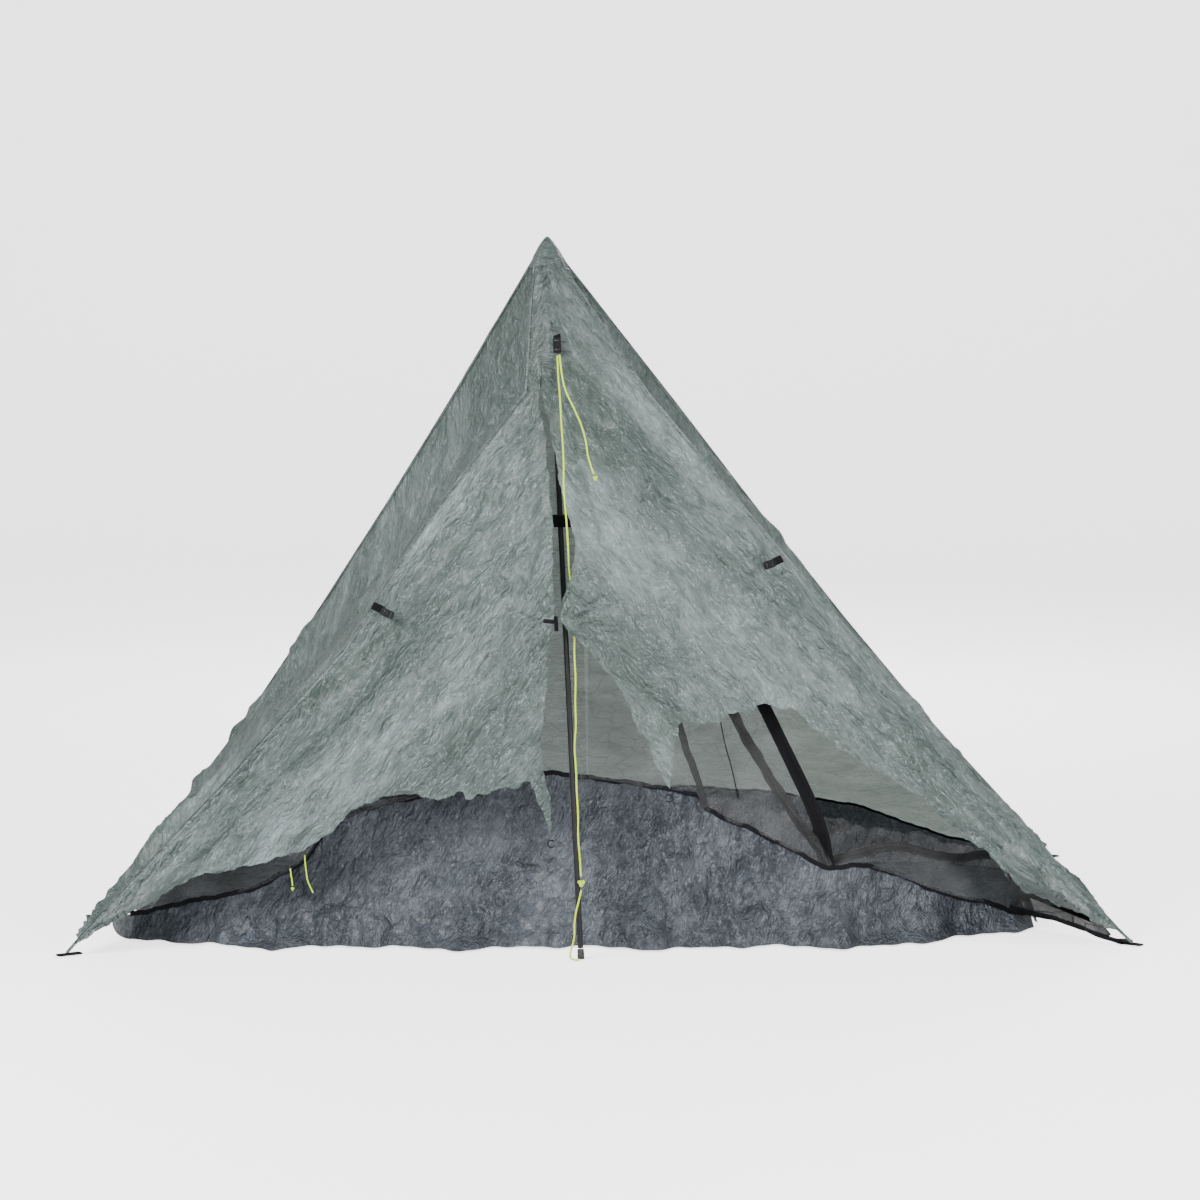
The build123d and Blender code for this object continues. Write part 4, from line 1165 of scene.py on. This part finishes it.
def net_base(u, v):
    """The netting at (x, z): from the tub's rim up to the netting's top behind the front."""
    rim = front_rim(u)
    at_rim = tub_front_y(u) + TUB_LEAN * rim / TUB_HEIGHT
    t = np.clip((v - rim) / (NET_TOP - rim), -0.05, 1)
    by_hinge = np.exp(-(((u - HINGE_X) / 0.04) ** 2))
    return np.stack((u, (at_rim + (-0.668 - at_rim) * t) * (1 - by_hinge) + HINGE_Y * by_hinge, v), axis=1)


def net_height(u, v):
    folds = crumple(u, v, 19, ((0.3, 2.4, 84, 0.03), (0.13, 3.0, 74, 0.014), (0.06, 2.6, -70, 0.005)))
    by_hinge = np.clip(np.abs(u - HINGE_X) / 0.07, 0, 1)
    return folds * np.clip((v - front_rim(u)) / 0.08, 0, 1) * by_hinge


left_net_x = np.linspace(-1.085, HINGE_X - HINGE_GAP, 110)
z_up = np.linspace(1.4, 0.14, 90)
net_left_outline = np.concatenate((
    np.stack((left_net_x, front_rim(left_net_x) - 0.004), axis=1),
    resample([(HINGE_X - HINGE_GAP, 0.385), (-0.045, 1.0), (-0.1, 1.4)], 0.012)[1:],
    np.stack((np.maximum(RIDGE_X["front_left"](z_up) + 0.035, -1.08), z_up), axis=1)[1:-1],
))
door_x = np.linspace(HINGE_X + HINGE_GAP, 0.52, 60)
net_door_outline = np.concatenate((
    np.stack((door_x, front_rim(door_x) - 0.002), axis=1),
    rounded(ZIP_ROUTE[::-1], 0.01)[3:-6],
    resample([(HINGE_X + HINGE_GAP, 1.31), (HINGE_X + HINGE_GAP, 0.4)], 0.012)[:-1],
))
for name, outline, seed, body, replaced, flat, area in (
        ("netting_left", net_left_outline, 56, "canopy", "mesh_front_wall", (1.08, 1.36), 0.5),
        ("netting_door", net_door_outline, 57, "mesh_door", "mesh_door_panel", (0.56, 1.14), 0.3)):
    made = sheet_piece(name, net_base, net_height, outline, 0.014, seed, NETTING)
    belongs(made, body, "netting", replaced)


def tape_on_net(name, line, width, material, slot, replaced, lift):
    """A tape or strip that lies on the mesh door along a line of (x, z)."""
    belongs(ribbon(name, net_base, net_height, line, width, material, lift), "mesh_door", slot, replaced)


ZIP_WIDTH = 0.03
zip_line = rounded(ZIP_ROUTE, 0.0035, 1)
tape_on_net("zip_tape_woven", zip_line, ZIP_WIDTH, ZIP, "zip_nylon", "zip_tape", 0.0035)

# A box's faces, where its corners run through the three directions in turn, the last one fastest.
BOX_FACES = ((0, 1, 3, 2), (4, 6, 7, 5), (0, 4, 5, 1), (2, 3, 7, 6), (1, 5, 7, 3), (0, 2, 6, 4))
TOOTH = (0.0062, 0.0026, 0.0016)  # along its row's reach, out of the tape, and along the zip


def zip_teeth():
    """Two interlocking rows of small teeth down the middle of the zip tape."""
    along = np.gradient(zip_line, axis=0)
    along /= np.hypot(along[:, 0], along[:, 1])[:, None]
    across = np.stack((-along[:, 1], along[:, 0]), axis=1)
    vertices, faces = [], []
    for k in range(2, len(zip_line) - 2):
        shift = across[k] * (0.0011 if k % 2 else -0.0011)
        corners = []
        for a in (-0.5, 0.5):
            for b in (-0.5, 0.5):
                uv = (zip_line[k] + shift + across[k] * a * TOOTH[0] + along[k] * b * TOOTH[2])[None]
                p, normal = place(net_base, net_height, uv)
                corners += [p[0] + normal[0] * 0.0036, p[0] + normal[0] * (0.0036 + TOOTH[1])]
        first = len(vertices)
        vertices += corners
        faces += [tuple(first + c for c in face) for face in BOX_FACES]
    return mesh_piece("zip_teeth", vertices, faces, PLASTIC, smooth_faces=False)


belongs(zip_teeth(), "mesh_door", "zip_nylon", "zip_coil")

# Spare netting bunched in long folds beside the zip, a strip beside it and a thin cord between them.
BUNCH_ROUTE = ((0.25, 0.68), (0.285, 0.6), (0.317, 0.534), (0.357, 0.463), (0.412, 0.375), (0.471, 0.287),
               (0.519, 0.22), (0.536, 0.184))
SIDE_STRIP_ROUTE = ((0.15, 0.6), (0.17, 0.56), (0.188, 0.51), (0.211, 0.435), (0.235, 0.375), (0.249, 0.321))
for k, (shift, width, lift) in enumerate(((-0.006, 0.013, 0.004), (0.0, 0.01, 0.008), (0.006, 0.013, 0.005))):
    line = rounded([(x + shift, z) for x, z in BUNCH_ROUTE], 0.006)
    line[:, 0] += wander(len(line), 80 + k, ((19, 0.0016), (8, 0.0009)))
    tape_on_net(f"bunched_netting_{k + 1}", line, width, NET_DENSE, "netting", "door_mesh_roll", lift)
strip = rounded(SIDE_STRIP_ROUTE, 0.006)
strip[:, 0] += wander(len(strip), 84, ((23, 0.0012), (9, 0.0008)))
tape_on_net("side_strip_woven", strip, 0.017, NET_DENSE, "black_binding", "side_strip", 0.004)
INNER_CORD = ((280, -676, 540), (287, -672, 506), (294, -669, 470), (313, -666, 406), (325, -664, 345))
inner_cord = spline_curve("inner_cord_round", INNER_CORD, 0.0013)
inner_cord.data.materials.append(WEBBING)
belongs(inner_cord, "mesh_door", "black_binding", "inner_cord")

# The netting right of the zip has slipped down and lies bunched along the tub's rim.
NET_EDGE = ((0.545, 0.2), (0.62, 0.215), (0.7, 0.226), (0.78, 0.2), (0.85, 0.18), (0.93, 0.186),
            (0.985, 0.15), (1.015, 0.104), (1.038, 0.052))


def low_net_base(u, v):
    """Netting at (x, z) that leans from the tub's front rim back to a slack upper edge."""
    rim = np.minimum(front_rim(u), 0.2)
    at_rim = tub_front_y(u) + TUB_LEAN * rim / TUB_HEIGHT
    return np.stack((u, at_rim + 0.5 * np.clip(v - rim, -0.01, 0.2), v), axis=1)


def low_net_height(u, v):
    folds = crumple(u, v, 85, ((0.16, 2.6, -34, 0.03), (0.07, 2.8, -48, 0.014), (0.035, 2.2, 20, 0.006)))
    return folds * np.clip((v - front_rim(u)) / 0.03, 0, 1)


right_net_x = np.linspace(0.545, 1.036, 70)
right_net_outline = np.concatenate((
    np.stack((right_net_x, front_rim(right_net_x) - 0.003), axis=1),
    ragged(rounded(NET_EDGE[::-1], 0.008), 86, 0.003)[:-1],
))
right_net = sheet_piece("netting_right_slipped", low_net_base, low_net_height, right_net_outline, 0.0075, 87,
                        NET_MIDDLE)
belongs(right_net, "canopy", "netting")
for k, (rise, width) in enumerate(((0.0, 0.012), (-0.01, 0.008))):
    line = rounded([(x, z + rise) for x, z in NET_EDGE], 0.007)
    hem = ribbon(f"netting_right_hem_{k + 1}", low_net_base, low_net_height, line, width, NET_DENSE,
                 0.002 + 0.002 * k)
    belongs(hem, "canopy", "netting")

# A wedge of netting and a black edge run on from the tub's right end to the front right corner.
CORNER_NET = ((0.985, 0.054), (1.046, 0.034), (1.12, 0.024), (1.236, 0.006), (1.16, 0.07), (1.06, 0.135),
              (0.995, 0.17))
corner_net_y = smooth((0.95, 1.05, 1.24), (-0.47, -0.46, -0.665))


def corner_net_base(u, v):
    return np.stack((u, corner_net_y(u) - 0.3 * v, v), axis=1)


def corner_net_height(u, v):
    return crumple(u, v, 88, ((0.1, 3.0, -28, 0.016), (0.045, 2.6, -40, 0.009), (0.022, 2.0, 10, 0.004)))


corner_net_outline = ragged(rounded((*CORNER_NET, CORNER_NET[0]), 0.008), 89, 0.003)[:-1]
corner_net = sheet_piece("netting_right_corner", corner_net_base, corner_net_height, corner_net_outline,
                         0.008, 90,
                         NET_DENSE)
corner_edge = ribbon("netting_right_corner_edge", corner_net_base, corner_net_height,
                     rounded(CORNER_NET[:4], 0.007), 0.014, BINDING, 0.002)
belongs(corner_net, "canopy", "netting")
belongs(corner_edge, "canopy", "black_binding")

# Door toggle --------------------------------------------------------------------------------------


def rounded_box(name, size, at, turn, material, edge):
    """A box with rounded edges. Its turn is in degrees about the line of sight through the front."""
    x, y, z = (c / 2 for c in size)
    corners = [(a * x, b * y, c * z) for a in (-1, 1) for b in (-1, 1) for c in (-1, 1)]
    made = mesh_piece(name, corners, BOX_FACES, material)
    made.location = at
    made.rotation_euler = (0, math.radians(turn), 0)
    soft = made.modifiers.new("edges", "BEVEL")
    soft.width = edge
    soft.segments = 3
    return made


bar = rounded_box("toggle_bar", (0.026, 0.007, 0.0095), (-0.1155, -0.874, 0.7815), 4, PLASTIC, 0.003)
loop = rounded_box("toggle_webbing", (0.009, 0.0045, 0.034), (-0.0985, -0.878, 0.7765), -3, WEBBING, 0.0012)
belongs(bar, "toggle", "black_plastic", "door_toggle")
belongs(loop, "toggle", "black_webbing", "toggle_loop")

# Floor and light ----------------------------------------------------------------------------------


def seen_strength(tree, light, seen, through):
    """A strength as a light, a strength to the camera, and a strength to the camera through film or netting."""
    path = tree.nodes.new("ShaderNodeLightPath")
    behind = tree.nodes.new("ShaderNodeMapRange")
    behind.inputs["To Min"].default_value = seen
    behind.inputs["To Max"].default_value = through
    tree.links.new(path.outputs["Transparent Depth"], behind.inputs["Value"])
    level = tree.nodes.new("ShaderNodeMapRange")
    level.inputs["To Min"].default_value = light
    tree.links.new(behind.outputs[0], level.inputs["To Max"])
    tree.links.new(path.outputs["Is Camera Ray"], level.inputs["Value"])
    return level.outputs[0]


def pale_floor():
    """A wide floor that curves up behind the object, brighter to the camera than as a light."""
    s = Shader("studio_floor")
    s.surface(Base_Color=s.ramp(s.noise(0.6, 2), ((0.3, (0.8, 0.8, 0.8)), (0.7, (0.82, 0.82, 0.82)))),
              Roughness=0.9, Emission_Color=(1, 1, 1),
              Emission_Strength=seen_strength(s.tree, 0.0, FLOOR_GLOW, FLOOR_THROUGH))
    return s.material


FLOOR_GLOW = 2.1
FLOOR_THROUGH = 0.15
floor_data = bpy.data.meshes.new("studio_floor")
profile = [(-12, -0.002), (7, -0.002), (8.5, 0.15), (9.6, 0.75), (10.2, 1.9), (10.4, 4.0), (10.4, 12.0)]
floor_data.from_pydata([(x, y, z) for y, z in profile for x in (-16, 16)], [],
                       [(2 * k, 2 * k + 1, 2 * k + 3, 2 * k + 2) for k in range(len(profile) - 1)])
floor_data.polygons.foreach_set("use_smooth", [True] * len(floor_data.polygons))
studio_floor = bpy.data.objects.new("studio_floor", floor_data)
bpy.context.collection.objects.link(studio_floor)
studio_floor.data.materials.append(pale_floor())

WORLD_LIGHT = 0.42
WORLD_SEEN = 3.0
WORLD_THROUGH = 0.8
world = bpy.data.worlds.new("studio")
world.use_nodes = True
sky = world.node_tree.nodes["Background"]
sky.inputs["Color"].default_value = (1, 1, 1, 1)
world.node_tree.links.new(seen_strength(world.node_tree, WORLD_LIGHT, WORLD_SEEN, WORLD_THROUGH),
                          sky.inputs["Strength"])
bpy.context.scene.world = world


def soft_light(name, at, aim, size, power):
    data = bpy.data.lights.new(name, "AREA")
    data.shape = "SQUARE"
    data.size = size
    data.energy = power
    made = bpy.data.objects.new(name, data)
    made.location = at
    made.rotation_euler = (Vector(aim) - Vector(at)).to_track_quat("-Z", "Y").to_euler()
    bpy.context.collection.objects.link(made)


soft_light("key", (-4.4, -5.8, 4.2), (0, 0, 0.6), 2.6, 950)
soft_light("front", (3.4, -6.6, 2.6), (0, 0, 0.7), 1.6, 320)
soft_light("back", (0.5, 6.0, 4.2), (0, 0, 0.4), 2.4, 430)
soft_light("right", (5.6, -2.4, 3.2), (0.4, 0, 0.6), 2.0, 300)

# Materials of the CAD pieces that stay ------------------------------------------------------------

KEPT_MATERIALS = {
    "black_plastic": PLASTIC, "dark_metal": METAL, "pole_tube": CARBON, "foot_rubber": RUBBER,
    "black_webbing": WEBBING, "black_binding": BINDING, "zip_nylon": ZIP, "cord_yellow": CORD,
    "netting": NET_DENSE,
    "canopy_film": PATCH, "tub_film": TUB,
}
slots = {part["node"]: part["material_slot"] for part in frame["record"]["subparts"]}
for node_name, cad_object in frame["nodes"].items():
    cad_object.data.materials.clear()
    cad_object.data.materials.append(KEPT_MATERIALS[slots[node_name]])
